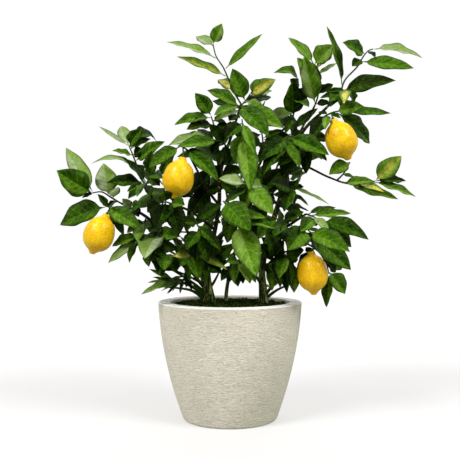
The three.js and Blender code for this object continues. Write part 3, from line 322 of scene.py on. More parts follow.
# Lemons: name, spray, share of its twig where the stalk starts, neck, nose, diameter.
LEMONS = [
    ["lemon_left", "far_left", 0.2, [107, 214, -84], [91.5, 254, -84], 58],
    ["lemon_upper", "lemon_shoot_left", 0.5, [183, 157, -112], [174, 199, -112], 58],
    ["lemon_right", "right_mid", 0.3, [333, 119, -66], [349, 160, -66], 60],
    ["lemon_low", "low_right_lemon", 0.3, [311, 251, -96], [314, 295, -96], 57],
]

# Bare thin shoots from the foot of the stems, by the spray that carries them.
RUNNERS = {
    "low_left_ground": [
        [[204, 295, -8], [192, 287, -26], [172, 278, -44]],
        [[203, 291, -8], [189, 280, -30], [172, 270, -60]],
        [[203, 286, -8], [192, 273, -36], [180, 262, -62]],
        [[203, 298, -8], [190, 290, -22], [166, 287, -36]],
        [[206, 292, -6], [214, 282, -30], [220, 270, -50]],
        [[204, 294, -8], [187, 284, -30], [166, 280, -50]],
    ],
    "inner_right": [
        [[265, 295, -8], [274, 284, -36], [284, 273, -52]],
        [[265, 299, -8], [277, 290, -28], [291, 284, -46]],
        [[262, 284, -8], [256, 276, -30], [250, 262, -44]],
    ],
}

# Turns tried for a small shaded leaf, in degrees, each with every nudge.
SHADE_TURNS = (0, 30, -30, 60, -60, 90)
# The plain sheet that a leaf is tested with: share along it and share of its half width, from
# past its own twig, and how far its edges rise, as a share of that half width.
SHEET_OUTLINE = ((0.2, 0.4), (0.36, 0.9), (0.55, 1.0), (0.75, 0.76), (0.9, 0.36), (1.0, 0.04))
SHEET_LIFT = 0.28
# Small shaded leaves deep in the bush, as [share of twig, across, down, depth, width], with a
# turn at the end where it isn't the usual one.
UNDERGROWTH = {
    "low_middle": [
        [0.6, 243, 284, -50, 26], [0.9, 256, 283, -44, 24], [0.3, 230, 282, -30, 22],
        [0.4, 221, 281, -50, 24], [0.3, 238, 287, -20, 22],
    ],
    "inner_low": [
        [0.8, 217, 280, -60, 24], [0.5, 224, 257, -70, 34, 64], [0.2, 231, 250, -44, 32],
        [0.9, 178, 262, -60, 26], [0.4, 224, 240, -80, 34, 64], [0.1, 229, 262, -60, 30],
        [0.0, 238, 243, -30, 28], [0.05, 223, 230, -34, 20],
    ],
    "inner_right": [
        [0.3, 272, 291, -50, 22], [0.6, 280, 288, -60, 24], [0.5, 268, 274, -60, 26],
        [0.4, 286, 276, -60, 24], [0.9, 261, 237, -70, 32],
    ],
    "low_right_inner": [
        [0.4, 287, 293, -60, 22], [0.6, 291, 286, -70, 24], [0.8, 298, 259, -66, 28],
    ],
    "low_right_lemon": [
        [0.2, 309, 256, -50, 28], [0.1, 318, 246, -60, 26], [0.6, 336, 272, -54, 24],
    ],
    "left_inner": [
        [0.9, 172, 250, -64, 32], [0.6, 165, 244, -40, 28], [0.2, 151, 230, -90, 28],
        [0.9, 164, 270, -70, 30], [0.9, 178, 249, -90, 28],
    ],
    "far_left_low": [[0.05, 139, 217, -76, 26]],
    "left_top": [
        [0.95, 151, 139, -20, 24, 55], [0.6, 143, 150, -36, 26], [0.2, 143, 165, -36, 26],
    ],
    "crown_front": [[0.2, 229, 121, -44, 28]],
    "right_top_low": [[0.1, 320, 98, -10, 16], [0.1, 330, 107, -24, 20], [0.3, 340, 106, -36, 18]],
    "inner_left": [
        [0.0, 244, 169, -30, 32], [0.02, 237, 197, -20, 30], [0.04, 206, 168, -40, 30],
        [0.5, 226, 186, 0, 34], [0.8, 200, 186, 0, 36], [0.3, 212, 178, 40, 36],
        [0.6, 196, 208, 10, 34],
    ],
    "inner_middle": [
        [0.2, 232, 176, 34, 36], [0.5, 250, 178, 50, 38], [0.8, 280, 188, 10, 34],
        [0.9, 272, 206, 0, 34], [0.3, 246, 228, 20, 32], [0.3, 234, 188, 20, 34],
    ],
    "left_mid": [[0.3, 128, 199, -40, 22], [0.6, 137, 197, -70, 22], [0.7, 160, 186, -60, 28]],
    "shelf_left": [
        [0.9, 197, 129, -36, 20, 55], [0.0, 219, 164, -30, 26], [0.3, 228, 166, -40, 28],
    ],
    "right_mid": [[0.1, 318, 112, -40, 12, 50], [0.2, 341, 118, -50, 14, 50]],
    "centre_high": [[0.7, 274, 152, -50, 32], [0.9, 268, 160, -60, 34]],
    "right_inner": [
        [0.8, 284, 175, -60, 32], [0.5, 296, 166, -40, 28], [0.9, 278, 166, -70, 30],
        [0.95, 327, 161, -60, 26], [0.9, 306, 174, -60, 26], [0.1, 274, 160, -20, 28],
    ],
    "right_core": [
        [0.0, 303, 168, -20, 26], [0.5, 276, 184, -40, 34], [0.9, 284, 200, -60, 32],
        [0.6, 298, 180, -50, 24],
    ],
    "right_core_low": [
        [0.6, 270, 250, -50, 32], [0.9, 286, 262, -70, 30], [0.0, 257, 240, -14, 32],
        [0.2, 262, 226, -30, 28],
    ],
    "inner_top": [[0.0, 267, 167, -16, 30], [0.1, 282, 178, -10, 28]],
    "top_tall": [[0.05, 331, 103, 0, 18]],
    "left_low": [[0.0, 155, 237, -40, 28], [0.4, 152, 226, -60, 24]],
    "back_top": [[0.4, 284, 130, 60, 18]],
    "upper_left": [[0.0, 227, 123, -26, 16]],
    "far_left": [[0.95, 82, 198, -56, 12, 50], [0.2, 106, 207, -54, 14, 50]],
    "top_centre": [[0.9, 290, 79, 10, 24], [0.6, 309, 107, 0, 26], [0.0, 285, 134, 16, 18]],
    "centre_left": [[0.6, 170, 222, -70, 34], [0.3, 182, 228, -80, 32], [0.1, 185, 205, -100, 30]],
    "centre_left_low": [
        [0.6, 212, 246, -90, 32], [0.8, 196, 262, -100, 32], [0.1, 186, 232, -86, 24],
    ],
    "low_left_mid": [
        [0.1, 170, 271, -60, 24], [0.3, 186, 270, -70, 28], [0.7, 208, 270, -80, 28],
        [0.5, 190, 282, -60, 20, 50],
    ],
    "low_left_front": [
        [0.6, 170, 271, -80, 28], [0.3, 177, 273, -76, 26], [0.9, 163, 276, -90, 22],
    ],
    "low_left_ground": [
        [0.05, 192, 291, -40, 11, 45], [0.1, 186, 288, -30, 12, 45], [0.3, 168, 294, -50, 12, 45],
        [0.2, 180, 294, -30, 11, 45], [0.5, 164, 284, -60, 12, 45], [0.4, 158, 289, -60, 12, 45],
    ],
}


# Depth nudges in millimetres, in order of preference, for a leaf whose tip is listed.
TIP_NUDGES = [0, -9, 9, -18, 18, -28, 28, -40, 40, -54, 54, -70, 70]
# Turns about the twig and shortenings for a leaf that the growth rule places.
RULE_NUDGES = [
    (0, 1), (0.06, 1), (-0.06, 1), (0.12, 1), (-0.12, 1), (0, 0.8), (0.09, 0.8), (-0.09, 0.8),
    (0.2, 0.9), (-0.2, 0.9), (0.3, 0.8), (-0.3, 0.8), (0.4, 0.7), (0.5, 0.6),
]


# ---- places and routes
@dataclass(frozen=True)
class Eye:
    """Where the tree is looked at from; the layout's cells are laid out as this eye sees them."""

    distance: float = 1.474
    height: float = 0.374
    cell: float = 230
    cells_away: float = 737

    def place(self, point: Sequence[float]) -> Vector:
        """The point that stands at a layout point.

        Args:
            point: Across and down in cells, then depth behind the trunk plane in millimetres.

        Returns:
            The point in metres.
        """
        across, down, depth = point[0], point[1], point[2] * MM
        k = (self.distance + depth) / self.cells_away
        return Vector(((across - self.cell) * k, depth, self.height - (down - self.cell) * k))


EYE = Eye()


def point_along(points: Sequence[Vector], share: float) -> Vector:
    """The point at a share of a route of straight runs, with every run counted alike.

    Args:
        points: The route's points.
        share: From 0 at the first point to 1 at the last.

    Returns:
        The point on the route.
    """
    x = min(max(share, 0.0), 1.0) * (len(points) - 1)
    i = min(int(x), len(points) - 2)
    return points[i].lerp(points[i + 1], x - i)


def smooth_along(points: Sequence[Vector], share: float) -> Vector:
    """The point at a share of the smooth curve through a route's points.

    Args:
        points: The points that the curve passes through.
        share: From 0 at the first point to 1 at the last, with every run counted alike.

    Returns:
        The point on the curve.
    """
    last = len(points) - 1
    x = min(max(share, 0.0), 1.0) * last
    i = min(int(x), last - 1)
    f = x - i
    before, start, end = points[max(i - 1, 0)], points[i], points[i + 1]
    after = points[min(i + 2, last)]
    bend = 2 * before - 5 * start + 4 * end - after
    sway = 3 * start - before - 3 * end + after
    return 0.5 * (2 * start + (end - before) * f + bend * f * f + sway * f ** 3)


# What scatters a seed and a place in its row into a number with no plain order.
SEED_STEP, PLACE_STEP, SCATTER = 127.1, 311.7, 43758.5453


def draw(seed: float, k: float) -> float:
    """A fixed number from 0 to 1 for a seed and a place in its row."""
    x = math.sin(seed * SEED_STEP + k * PLACE_STEP) * SCATTER
    return x - math.floor(x)


# ---- wiring node trees
class Wire:
    """One output of a node, on which Python's operators add Math and Vector Math nodes."""

    def __init__(self, board: "Board", socket: bpy.types.NodeSocket) -> None:
        """Keeps the board that the node is on and the node's output."""
        self.board = board
        self.socket = socket

    def is_vector(self) -> bool:
        """Whether the output carries a vector."""
        return self.socket.type == "VECTOR"

    def _join(self, operation: str, first: Any, second: Any = None) -> "Wire":
        """Adds the node that works on one or two values.

        Args:
            operation: The node's operation.
            first: A wire or a number.
            second: A wire or a number, or None where the operation takes one value.

        Returns:
            The wire that carries the result.
        """
        pair = [item for item in (first, second) if item is not None]
        arrows = [isinstance(item, (tuple, Vector)) or isinstance(item, Wire) and item.is_vector()
                  for item in pair]
        kind, inputs = "ShaderNodeVectorMath", dict(enumerate(pair))
        if not any(arrows):
            kind = "ShaderNodeMath"
        elif operation == "MULTIPLY" and not all(arrows):
            arrow, factor = (first, second) if arrows[0] else (second, first)
            operation, inputs = "SCALE", {0: arrow, 3: factor}
        return self.board.add(kind, {"operation": operation}, inputs)

    def _before(self, operation: str, other: Any = None) -> "Wire":
        """The result with the wire first and the other value, if any, second."""
        return self._join(operation, self, other)

    def _behind(self, operation: str, other: Any) -> "Wire":
        """The result with the other value first and the wire second."""
        return self._join(operation, other, self)

    __add__, __radd__ = partialmethod(_before, "ADD"), partialmethod(_behind, "ADD")
    __sub__, __rsub__ = partialmethod(_before, "SUBTRACT"), partialmethod(_behind, "SUBTRACT")
    __mul__, __rmul__ = partialmethod(_before, "MULTIPLY"), partialmethod(_behind, "MULTIPLY")
    __truediv__, __pow__ = partialmethod(_before, "DIVIDE"), partialmethod(_before, "POWER")
    sine, cosine = partialmethod(_before, "SINE"), partialmethod(_before, "COSINE")
    # The value without its sign, and what it has past its whole number.
    size, fraction = partialmethod(_before, "ABSOLUTE"), partialmethod(_before, "FRACT")
    # The larger and the smaller of two values.
    at_least, at_most = partialmethod(_before, "MAXIMUM"), partialmethod(_before, "MINIMUM")
    # 1 where the value is above a level and 0 elsewhere, and the cross product of two vectors.
    above, cross = partialmethod(_before, "GREATER_THAN"), partialmethod(_before, "CROSS_PRODUCT")
    # The vector at length 1, and its length.
    unit, length = partialmethod(_before, "NORMALIZE"), partialmethod(_before, "LENGTH")

    def rise(self, start: float, end: float) -> "Wire":
        """A smooth step from 0 at one level to 1 at another.

        Args:
            start: The level where the step is 0.
            end: The level where it is 1.

        Returns:
            The step's wire.
        """
        settings = {"interpolation_type": "SMOOTHSTEP"}
        inputs = {"Value": self, "From Min": start, "From Max": end}
        return self.board.add("ShaderNodeMapRange", settings, inputs)

    def parts(self) -> tuple["Wire", "Wire", "Wire"]:
        """The vector's three numbers."""
        node = self.board.add("ShaderNodeSeparateXYZ", {}, {0: self}).socket.node
        return tuple(Wire(self.board, socket) for socket in node.outputs)


class Board:
    """A node tree being wired."""

    def __init__(self, tree: bpy.types.NodeTree) -> None:
        """Keeps the tree that nodes are added to."""
        self.tree = tree

    @classmethod
    def cleared(cls, owner: Any) -> "Board":
        """The emptied node tree of a material or a world.

        Args:
            owner: The material or world.

        Returns:
            The board of its tree.
        """
        owner.use_nodes = True
        owner.node_tree.nodes.clear()
        return cls(owner.node_tree)

    @staticmethod
    def _pick(sockets: Any, key: Any) -> bpy.types.NodeSocket:
        """The socket at a number, or the first in use that has the name, or the first in use."""
        free = (item for item in sockets if item.enabled and key in (None, item.name))
        return sockets[key] if isinstance(key, int) else next(free)

    def add(self, kind: str, settings: dict | None = None, inputs: dict | None = None,
            output: Any = None) -> Wire:
        """Adds one node.

        Args:
            kind: The node's type.
            settings: Its properties, set first; "stops" holds a ramp's places and colours.
            inputs: Values, wires or lists of wires, by socket name or number.
            output: The name or number of the output that is wanted, or None for the first.

        Returns:
            The wire from that output.
        """
        node = self.tree.nodes.new(kind)
        for key, value in (settings or {}).items():
            if key == "stops":
                self._set_stops(node.color_ramp, value)
            else:
                setattr(node, key, value)
        for key, value in (inputs or {}).items():
            socket = self._pick(node.inputs, key)
            for item in value if isinstance(value, list) else [value]:
                if isinstance(item, Wire):
                    self.tree.links.new(item.socket, socket)
                else:
                    socket.default_value = item
        return Wire(self, self._pick(node.outputs, output)) if node.outputs else None

    @staticmethod
    def _set_stops(ramp: bpy.types.ColorRamp, stops: Sequence[tuple[float, tuple]]) -> None:
        """Gives a ramp its places and colours.

        Args:
            ramp: The ramp.
            stops: Its places, from 0 to 1, with their colours.
        """
        while len(ramp.elements) < len(stops):
            ramp.elements.new(1.0)
        for element, (place, colour) in zip(ramp.elements, stops):
            element.position = place
            element.color = colour

    def mix(self, factor: Any, first: Any, second: Any) -> Wire:
        """Two colours mixed: all of the first where the factor is 0."""
        inputs = {"Factor": factor, "A": first, "B": second}
        return self.add("ShaderNodeMix", {"data_type": "RGBA"}, inputs)

    def vector(self, x: Any, y: Any, z: Any) -> Wire:
        """The vector of three values."""
        return self.add("ShaderNodeCombineXYZ", {}, {0: x, 1: y, 2: z})

    def noise(self, place: Wire, scale: Any, detail: float = 2.0, roughness: float = 0.5) -> Wire:
        """Smooth noise from about 0 to 1, with a scale in swells for each metre."""
        inputs = {"Vector": place, "Scale": scale, "Detail": detail, "Roughness": roughness}
        return self.add("ShaderNodeTexNoise", {}, inputs, "Fac")


class GrowthTree(Board):
    """A Geometry Nodes tree with named inputs, which turns a mesh into a finished one."""

    # An input's type by that of its first value; None stands for a material.
    sockets = {float: "Float", int: "Int", tuple: "Vector", type(None): "Material"}

    def __init__(self, name: str, inputs: dict[str, Any]) -> None:
        """Starts the tree.

        Args:
            name: The tree's name.
            inputs: Each input's first value, by name.
        """
        super().__init__(bpy.data.node_groups.new(name, "GeometryNodeTree"))
        face = self.tree.interface
        face.new_socket("Geometry", in_out="INPUT", socket_type="NodeSocketGeometry")
        face.new_socket("Geometry", in_out="OUTPUT", socket_type="NodeSocketGeometry")
        for label, value in inputs.items():
            kind = "NodeSocket" + self.sockets[type(value)]
            socket = face.new_socket(label, in_out="INPUT", socket_type=kind)
            if value is not None:
                socket.default_value = value
        self.entry = self.tree.nodes.new("NodeGroupInput")

    def given(self, name: str) -> Wire:
        """The wire of a named input."""
        return Wire(self, self.entry.outputs[name])

    def read(self, name: str, kind: str = "FLOAT_VECTOR") -> Wire:
        """The wire of an attribute on the geometry."""
        return self.add("GeometryNodeInputNamedAttribute", {"data_type": kind}, {"Name": name})

    def store(self, geometry: Wire, name: str, value: Wire) -> Wire:
        """The geometry with a vector written on its points."""
        settings = {"data_type": "FLOAT_VECTOR"}
        inputs = {"Geometry": geometry, "Name": name, "Value": value}
        return self.add("GeometryNodeStoreNamedAttribute", settings, inputs)

    def paint(self, geometry: Wire, material: Wire) -> Wire:
        """The geometry with a material."""
        return self.add("GeometryNodeSetMaterial", {}, {"Geometry": geometry, "Material": material})

    def place(self) -> Wire:
        """Where each point is."""
        return self.add("GeometryNodeInputPosition")

    def push(self, geometry: Wire, offset: Wire) -> Wire:
        """The geometry with its points moved by an offset."""
        return self.add("GeometryNodeSetPosition", {}, {"Geometry": geometry, "Offset": offset})

    def swell(self, geometry: Wire, height: Wire) -> Wire:
        """The geometry with its points moved out along their normals."""
        return self.push(geometry, self.add("GeometryNodeInputNormal") * height)

    def real(self, geometry: Wire) -> Wire:
        """The geometry with its instances made real."""
        return self.add("GeometryNodeRealizeInstances", {}, {"Geometry": geometry})

    def join(self, *parts: Wire) -> Wire:
        """Several geometries as one."""
        return self.add("GeometryNodeJoinGeometry", {}, {0: list(parts)})

    def end(self, geometry: Wire) -> None:
        """Smooths the shading and leads the geometry out of the tree."""
        smooth = self.add("GeometryNodeSetShadeSmooth", {}, {"Geometry": geometry})
        self.add("NodeGroupOutput", {}, {0: smooth})

    def run(self, name: str, mesh: bpy.types.Mesh, values: dict[str, Any]) -> bpy.types.Object:
        """Grows a piece from a mesh and keeps the plain result.

        Args:
            name: The piece's name.
            mesh: The mesh that the tree starts from.
            values: The inputs that differ from their first values, by name.

        Returns:
            The piece, with no modifier left on it.
        """
        seedling = link(name, mesh)
        modifier = seedling.modifiers.new("growth", "NODES")
        modifier.node_group = self.tree
        sockets = {item.name: item.identifier for item in self.tree.interface.items_tree
                   if item.item_type == "SOCKET" and item.in_out == "INPUT"}
        for label, value in values.items():
            modifier[sockets[label]] = value
        return settle_modifiers(seedling)


def link(name: str, data: bpy.types.ID) -> bpy.types.Object:
    """An object for a mesh, a camera or a light, put in the scene.

    Args:
        name: The object's name.
        data: The mesh, camera or light.

    Returns:
        The object.
    """
    item = bpy.data.objects.new(name, data)
    bpy.context.scene.collection.objects.link(item)
    return item


def settle_modifiers(item: bpy.types.Object) -> bpy.types.Object:
    """Turns an object with live modifiers into a plain one of the same name.

    Args:
        item: The object with its modifiers.

    Returns:
        The same object, with the finished mesh and no modifiers.
    """
    graph = bpy.context.evaluated_depsgraph_get()
    shown = item.evaluated_get(graph)
    mesh = bpy.data.meshes.new_from_object(shown, preserve_all_data_layers=True, depsgraph=graph)
    item.modifiers.clear()
    old = item.data
    item.data = mesh
    bpy.data.meshes.remove(old)
    mesh.name = item.name
    return item


# ---- finishes
def paint(red: float, green: float, blue: float) -> tuple[float, float, float, float]:
    """The linear colour of a paint chip.

    Args:
        red: The chip's red, from 0 to 255.
        green: Its green.
        blue: Its blue.

    Returns:
        Linear red, green and blue, and an alpha of 1.
    """
    chips = [value / 255 for value in (red, green, blue)]
    linear = [c / 12.92 if c <= 0.04045 else ((c + 0.055) / 1.055) ** 2.4 for c in chips]
    return (*linear, 1.0)


class Surface(Board):
    """A material's node tree, with the shader that its wires lead to."""

    shader: Wire
    names = {"colour": "Base Color", "roughness": "Roughness"}

    def shade(self, inputs: dict[str, Any]) -> Wire:
        """Adds the shader, with its constants by the name of their socket."""
        self.shader = self.add("ShaderNodeBsdfPrincipled", {}, inputs)
        return self.shader

    def place(self) -> Wire:
        """Where a point of the surface is, in metres."""
        return self.add("ShaderNodeTexCoord", {}, {}, "Object")

    def mark(self, name: str) -> Wire:
        """A vector that the mesh carries on its points."""
        return self.add("ShaderNodeAttribute", {"attribute_name": name}, {}, "Vector")

    def ramp(self, value: Wire, stops: Sequence[tuple[float, tuple]]) -> Wire:
        """The colour at a value between a ramp's stops."""
        return self.add("ShaderNodeValToRGB", {"stops": stops}, {0: value})

    def feed(self, relief: Wire, **values: Wire) -> None:
        """Leads wires to the shader.

        Args:
            relief: How high the surface stands, in metres.
            values: The colour's wire and, where it changes, the roughness's.
        """
        inputs = self.shader.socket.node.inputs
        for key, value in values.items():
            self.tree.links.new(value.socket, inputs[self.names[key]])
        height = {"Strength": 1.0, "Distance": 1.0, "Height": relief}
        self.tree.links.new(self.add("ShaderNodeBump", {}, height).socket, inputs["Normal"])


@dataclass(frozen=True)
class Finish:
    """What every finish has: a name, and the constants of its shader."""

    name: str = "finish"
    roughness: float = 0.5
    coat: float = 0.0
    coat_roughness: float = 0.2
    specular: float = 0.5
    sheen_tint: tuple = (1.0, 1.0, 1.0, 1.0)
    subsurface: float = 0.0
    subsurface_scale: float = 0.003

    def material(self) -> bpy.types.Material:
        """Builds the finish as a material.

        Returns:
            The material.
        """
        material = bpy.data.materials.new(self.name)
        board = Surface.cleared(material)
        board.add("ShaderNodeOutputMaterial", {}, {"Surface": self.surface(board)})
        return material

    def surface(self, board: Surface) -> Wire:
        """Adds the shader and wires what changes over the surface.

        Args:
            board: The material's tree.

        Returns:
            The shader's wire.
        """
        shader = board.shade({
            "Roughness": self.roughness, "Specular IOR Level": self.specular,
            "Specular Tint": self.sheen_tint,
            "Coat Weight": self.coat, "Coat Roughness": self.coat_roughness,
            "Subsurface Weight": self.subsurface, "Subsurface Scale": self.subsurface_scale,
        })
        self.wire(board)
        return shader

    def wire(self, board: Surface) -> None:
        """Wires what changes over the surface."""
        raise NotImplementedError



@dataclass(frozen=True)
class LeafFinish(Finish):
    """Glossy green, pale midrib, slanting veins, matt paler underside; painted light and shade."""

    name: str = "leaf_green"
    roughness: float = 0.42
    specular: float = 0.08
    sheen_tint: tuple = (0.7, 1.0, 0.3, 1.0)
    # The ramp of greens: its darkest stops serve as painted shade, its grey-green top stops as
    # painted sheen, over the leaves' own greens.
    greens: tuple = (
        (0.0, paint(5, 16, 0)), (0.18, paint(24, 52, 0)), (0.38, paint(53, 91, 3)),
        (0.58, paint(88, 126, 26)), (0.74, paint(114, 146, 56)), (0.88, paint(126, 146, 92)),
        (1.0, paint(152, 168, 126)),
    )
    under: tuple = paint(104, 126, 74)
    yellow: tuple = paint(212, 192, 84)
    rib: tuple = paint(112, 138, 56)

    def wire(self, board: Surface) -> None:
        """Wires the greens with painted light and shade, the veins and the yellowed streaks.

        Args:
            board: The material's tree.
        """
        along, across, below = board.mark("blade").parts()
        tone, yellowing, phase = board.mark("look").parts()
        half_light = board.mark("halves").parts()[0]
        place = board.place()
        cloud = board.noise(place, 48, 3, 0.6)
        patch = board.noise(place, 150, 4, 0.68)
        grain = board.noise(place, 360, 2, 0.6)
        side = across.size()
        slant = (along * 7.5 - side * 1.5 + phase * 9.0).fraction()
        vein = 1.0 - (slant - 0.5).size().rise(0.0, 0.16)
        midrib = (1.0 - side.rise(0.0, 0.07)) * along.rise(0.06, 0.16)
        level = tone + (cloud - 0.5) * 0.5 + (patch - 0.5) * 0.56 + (grain - 0.5) * 0.3
        level = level + (vein - 0.4) * (0.15 - tone.rise(0.6, 0.85) * 0.28)
        # Painted light across the fold: one half of the blade lighter, the other darker.
        level = level + half_light * (across.rise(-0.05, 0.05) * 2.0 - 1.0)
        colour = board.ramp(level, self.greens)
        # The midrib shows less on darker tones, so it doesn't lift a leaf's painted shade.
        colour = board.mix(midrib * (0.14 + tone.rise(0.2, 0.6) * 0.24), colour, self.rib)
        blotch = (cloud * 0.5 + patch * 0.5).rise(0.46, 0.54)
        inside = 1.0 - (side + (patch - 0.5) * 1.2).rise(0.2, 0.7)
        yellowed = (yellowing * inside * (0.3 + blotch * 0.7)).at_most(0.92)
        colour = board.mix(yellowed, colour, self.yellow)
        # Less pale underside on darker tones, which keeps their painted shade dark.
        colour = board.mix(below * (0.12 + tone.rise(0.1, 0.6) * 0.43), colour, self.under)
        dull = (1.0 - tone.rise(0.0, 0.3)) * 0.3
        rough = self.roughness + below * 0.22 + (cloud - 0.5) * 0.16 + dull
        relief = grain * 0.00008 + patch * 0.0003 - vein * 0.0002 - midrib * 0.0003
        relief = relief * (1.0 - below * 1.6)
        board.feed(colour=colour, roughness=rough, relief=relief)


@dataclass(frozen=True)
class TwigFinish(Finish):
    """Young green-brown shoots."""

    name: str = "shoot_green"
    roughness: float = 0.6
    specular: float = 0.15
    stops: tuple = ((0.25, paint(22, 38, 6)), (0.6, paint(54, 82, 16)), (0.85, paint(108, 130, 48)))

    def wire(self, board: Surface) -> None:
        """Wires the streaked green.

        Args:
            board: The material's tree.
        """
        place = board.place()
        cloud = board.noise(place, 60, 3, 0.6)
        fine = board.noise(place, 420, 2, 0.6)
        colour = board.ramp(cloud * 0.7 + fine * 0.3, self.stops)
        board.feed(colour=colour, relief=fine * 0.0003)


@dataclass(frozen=True)
class BarkFinish(Finish):
    """Dark bark with pale grey-green lenticels and ochre flecks."""

    name: str = "bark_dark"
    roughness: float = 0.78
    specular: float = 0.15
    stops: tuple = (
        (0.38, paint(18, 28, 3)), (0.47, paint(66, 88, 20)), (0.55, paint(154, 170, 100)),
        (0.63, paint(220, 226, 186)),
    )
    ochre: tuple = paint(176, 140, 62)

    def wire(self, board: Surface) -> None:
        """Wires the bark's patches, its flecks and its fissures.

        Args:
            board: The material's tree.
        """
        place = board.place()
        tall = place * (1.0, 1.0, 0.13)
        patch = board.noise(tall, 170, 4, 0.66)
        fleck = board.noise(place, 180, 2, 0.5)
        crack = board.noise(tall, 330, 3, 0.6)
        z = place.parts()[2]
        colour = board.ramp(patch * 0.8 + fleck * 0.2 - z.rise(0.25, 0.36) * 0.15, self.stops)
        colour = board.mix(fleck.rise(0.62, 0.7) * 0.55, colour, self.ochre)
        colour = board.mix((1.0 - crack.rise(0.36, 0.5)) * 0.6, colour, paint(14, 15, 8))
        board.feed(colour=colour, relief=crack * 0.0009 + patch * 0.0006)


@dataclass(frozen=True)
class LemonFinish(Finish):
    """Waxy golden rind with fine pores, ochre towards the ends, partly painted shade."""

    name: str = "lemon_rind"
    roughness: float = 0.33
    specular: float = 0.34
    sheen_tint: tuple = (1.0, 0.93, 0.6, 1.0)
    coat: float = 0.1
    coat_roughness: float = 0.24
    subsurface: float = 0.08
    stops: tuple = (
        (0.3, paint(232, 168, 0)), (0.5, paint(246, 196, 4)), (0.7, paint(255, 216, 36)),
    )

    def wire(self, board: Surface) -> None:
        """Wires the rind's clouds, its pores and the green by the stalk.

        Args:
            board: The material's tree.
        """
        place = board.place()
        along = board.mark("rind").parts()[0]
        cloud = board.noise(place, 55, 3, 0.55)
        cell = board.add("ShaderNodeTexVoronoi", {}, {"Vector": place, "Scale": 480.0}, "Distance")
        pore = 1.0 - cell.rise(0.05, 0.42)
        colour = board.ramp(cloud * 0.75 + (1.0 - pore) * 0.12, self.stops)
        colour = board.mix(pore * 0.55, colour, paint(212, 150, 2))
        # Deeper gold towards both ends: partly the rind's own colour, partly painted shade on the
        # hanging lower end.
        end = (along - 0.5).size().rise(0.36, 0.5)
        colour = board.mix(end * 0.5, colour, paint(222, 162, 4))
        neck = 1.0 - along.rise(0.02, 0.13)
        colour = board.mix(neck * 0.5, colour, paint(168, 160, 40))
        swell = board.noise(place, 210, 2, 0.5)
        rough = self.roughness + pore * 0.12
        relief = pore * -0.0009 + swell * 0.0007
        board.feed(relief, colour=colour, roughness=rough)


@dataclass(frozen=True)
class CementFinish(Finish):
    """Cream cement wash, brushed in short wavy strokes round the pot, with small pits."""

    name: str = "cement_wash"
    roughness: float = 0.86
    specular: float = 0.3
    cream: tuple = paint(243, 237, 218)
    shade: tuple = paint(210, 203, 181)
    moss_and_shade: tuple = paint(172, 184, 146)
    pit: tuple = paint(128, 122, 100)
    chalk_and_light: tuple = paint(252, 252, 247)

    def wire(self, board: Surface) -> None:
        """Wires the strokes, the pits, the greenish weathering and painted shade low on the right
        side, and the painted light on the rim's top.

        Args:
            board: The material's tree.
        """
        place = board.place()
        x, _, z = place.parts()
        cloud = board.noise(place, 9, 4, 0.6)
        wander = board.noise(place, 40, 2, 0.5)
        band = place * (120.0, 120.0, 640.0) + board.vector(0.0, 0.0, wander * 7.0)
        stroke = board.noise(band, 1.0, 4, 0.66)
        speck = board.noise(place, 420, 2, 0.5)
        pit = 1.0 - speck.rise(0.27, 0.36)
        colour = board.mix(cloud.rise(0.3, 0.75) * 0.35, self.cream, self.shade)
        colour = board.mix((1.0 - stroke.rise(0.38, 0.54)) * 0.75, colour, self.shade)
        # Greenish weathering with painted shade, darker low on the right side of the pot.
        low = (x * 7.0 - z * 3.4 + cloud * 1.4).rise(0.45, 1.15)
        colour = board.mix(low * 0.26, colour, self.moss_and_shade)
        colour = board.mix(pit * 0.5, colour, self.pit)
        # The rim's top painted near white: its paler lip, with painted light that lifts the
        # foliage's shadow off it.
        colour = board.mix(z.rise(0.2292, 0.231), colour, self.chalk_and_light)
        relief = stroke * 0.0034 + speck * 0.0014 - pit * 0.0005
        board.feed(colour=colour, relief=relief)


@dataclass(frozen=True)
class SoilFinish(Finish):
    """Near-black potting soil with brown and green specks."""

    name: str = "soil_dark"
    roughness: float = 0.95
    specular: float = 0.04
    stops: tuple = (
        (0.4, paint(3, 8, 0)), (0.5, paint(18, 32, 1)), (0.58, paint(58, 82, 8)),
        (0.68, paint(142, 156, 52)),
    )

    def wire(self, board: Surface) -> None:
        """Wires the crumbs' colours and their roughness.

        Args:
            board: The material's tree.
        """
        place = board.place()
        crumb = board.noise(place, 190, 4, 0.7)
        fine = board.noise(place, 700, 2, 0.6)
        colour = board.ramp(crumb * 0.75 + fine * 0.25, self.stops)
        board.feed(colour=colour, relief=crumb * 0.003 + fine * 0.0008)


@dataclass(frozen=True)
class FloorFinish(Finish):
    """A plain white surface, lit a little from within so that shadows on it stay faint."""

    name: str = "studio_floor"
    roughness: float = 0.9
    specular: float = 0.0
    glow: float = 0.46
    paint_white: float = 0.37
    bounce: float = 0.3

    def surface(self, board: Surface) -> Wire:
        """Adds the shader: white to look at, and throwing back only a part of its light.

        Args:
            board: The material's tree.

        Returns:
            The shader's wire.
        """
        seen = board.shade({
            "Base Color": (self.paint_white,) * 3 + (1,), "Roughness": self.roughness,
            "Specular IOR Level": self.specular, "Emission Color": (1.0, 0.99, 0.975, 1.0),
            "Emission Strength": self.glow,
        })
        thrown = board.add("ShaderNodeBsdfDiffuse", {}, {"Color": (self.bounce,) * 3 + (1,)})
        looking = board.add("ShaderNodeLightPath", {}, {}, "Is Camera Ray")
        return board.add("ShaderNodeMixShader", {}, {0: looking, 1: thrown, 2: seen})


# ---- meshes turned on an axis
def mark_points(mesh: bpy.types.Mesh, label: str, values: np.ndarray) -> None:
    """Writes a vector on every point of a mesh, under a label."""
    marks = mesh.attributes.new(label, "FLOAT_VECTOR", "POINT")
    marks.data.foreach_set("vector", values.ravel())


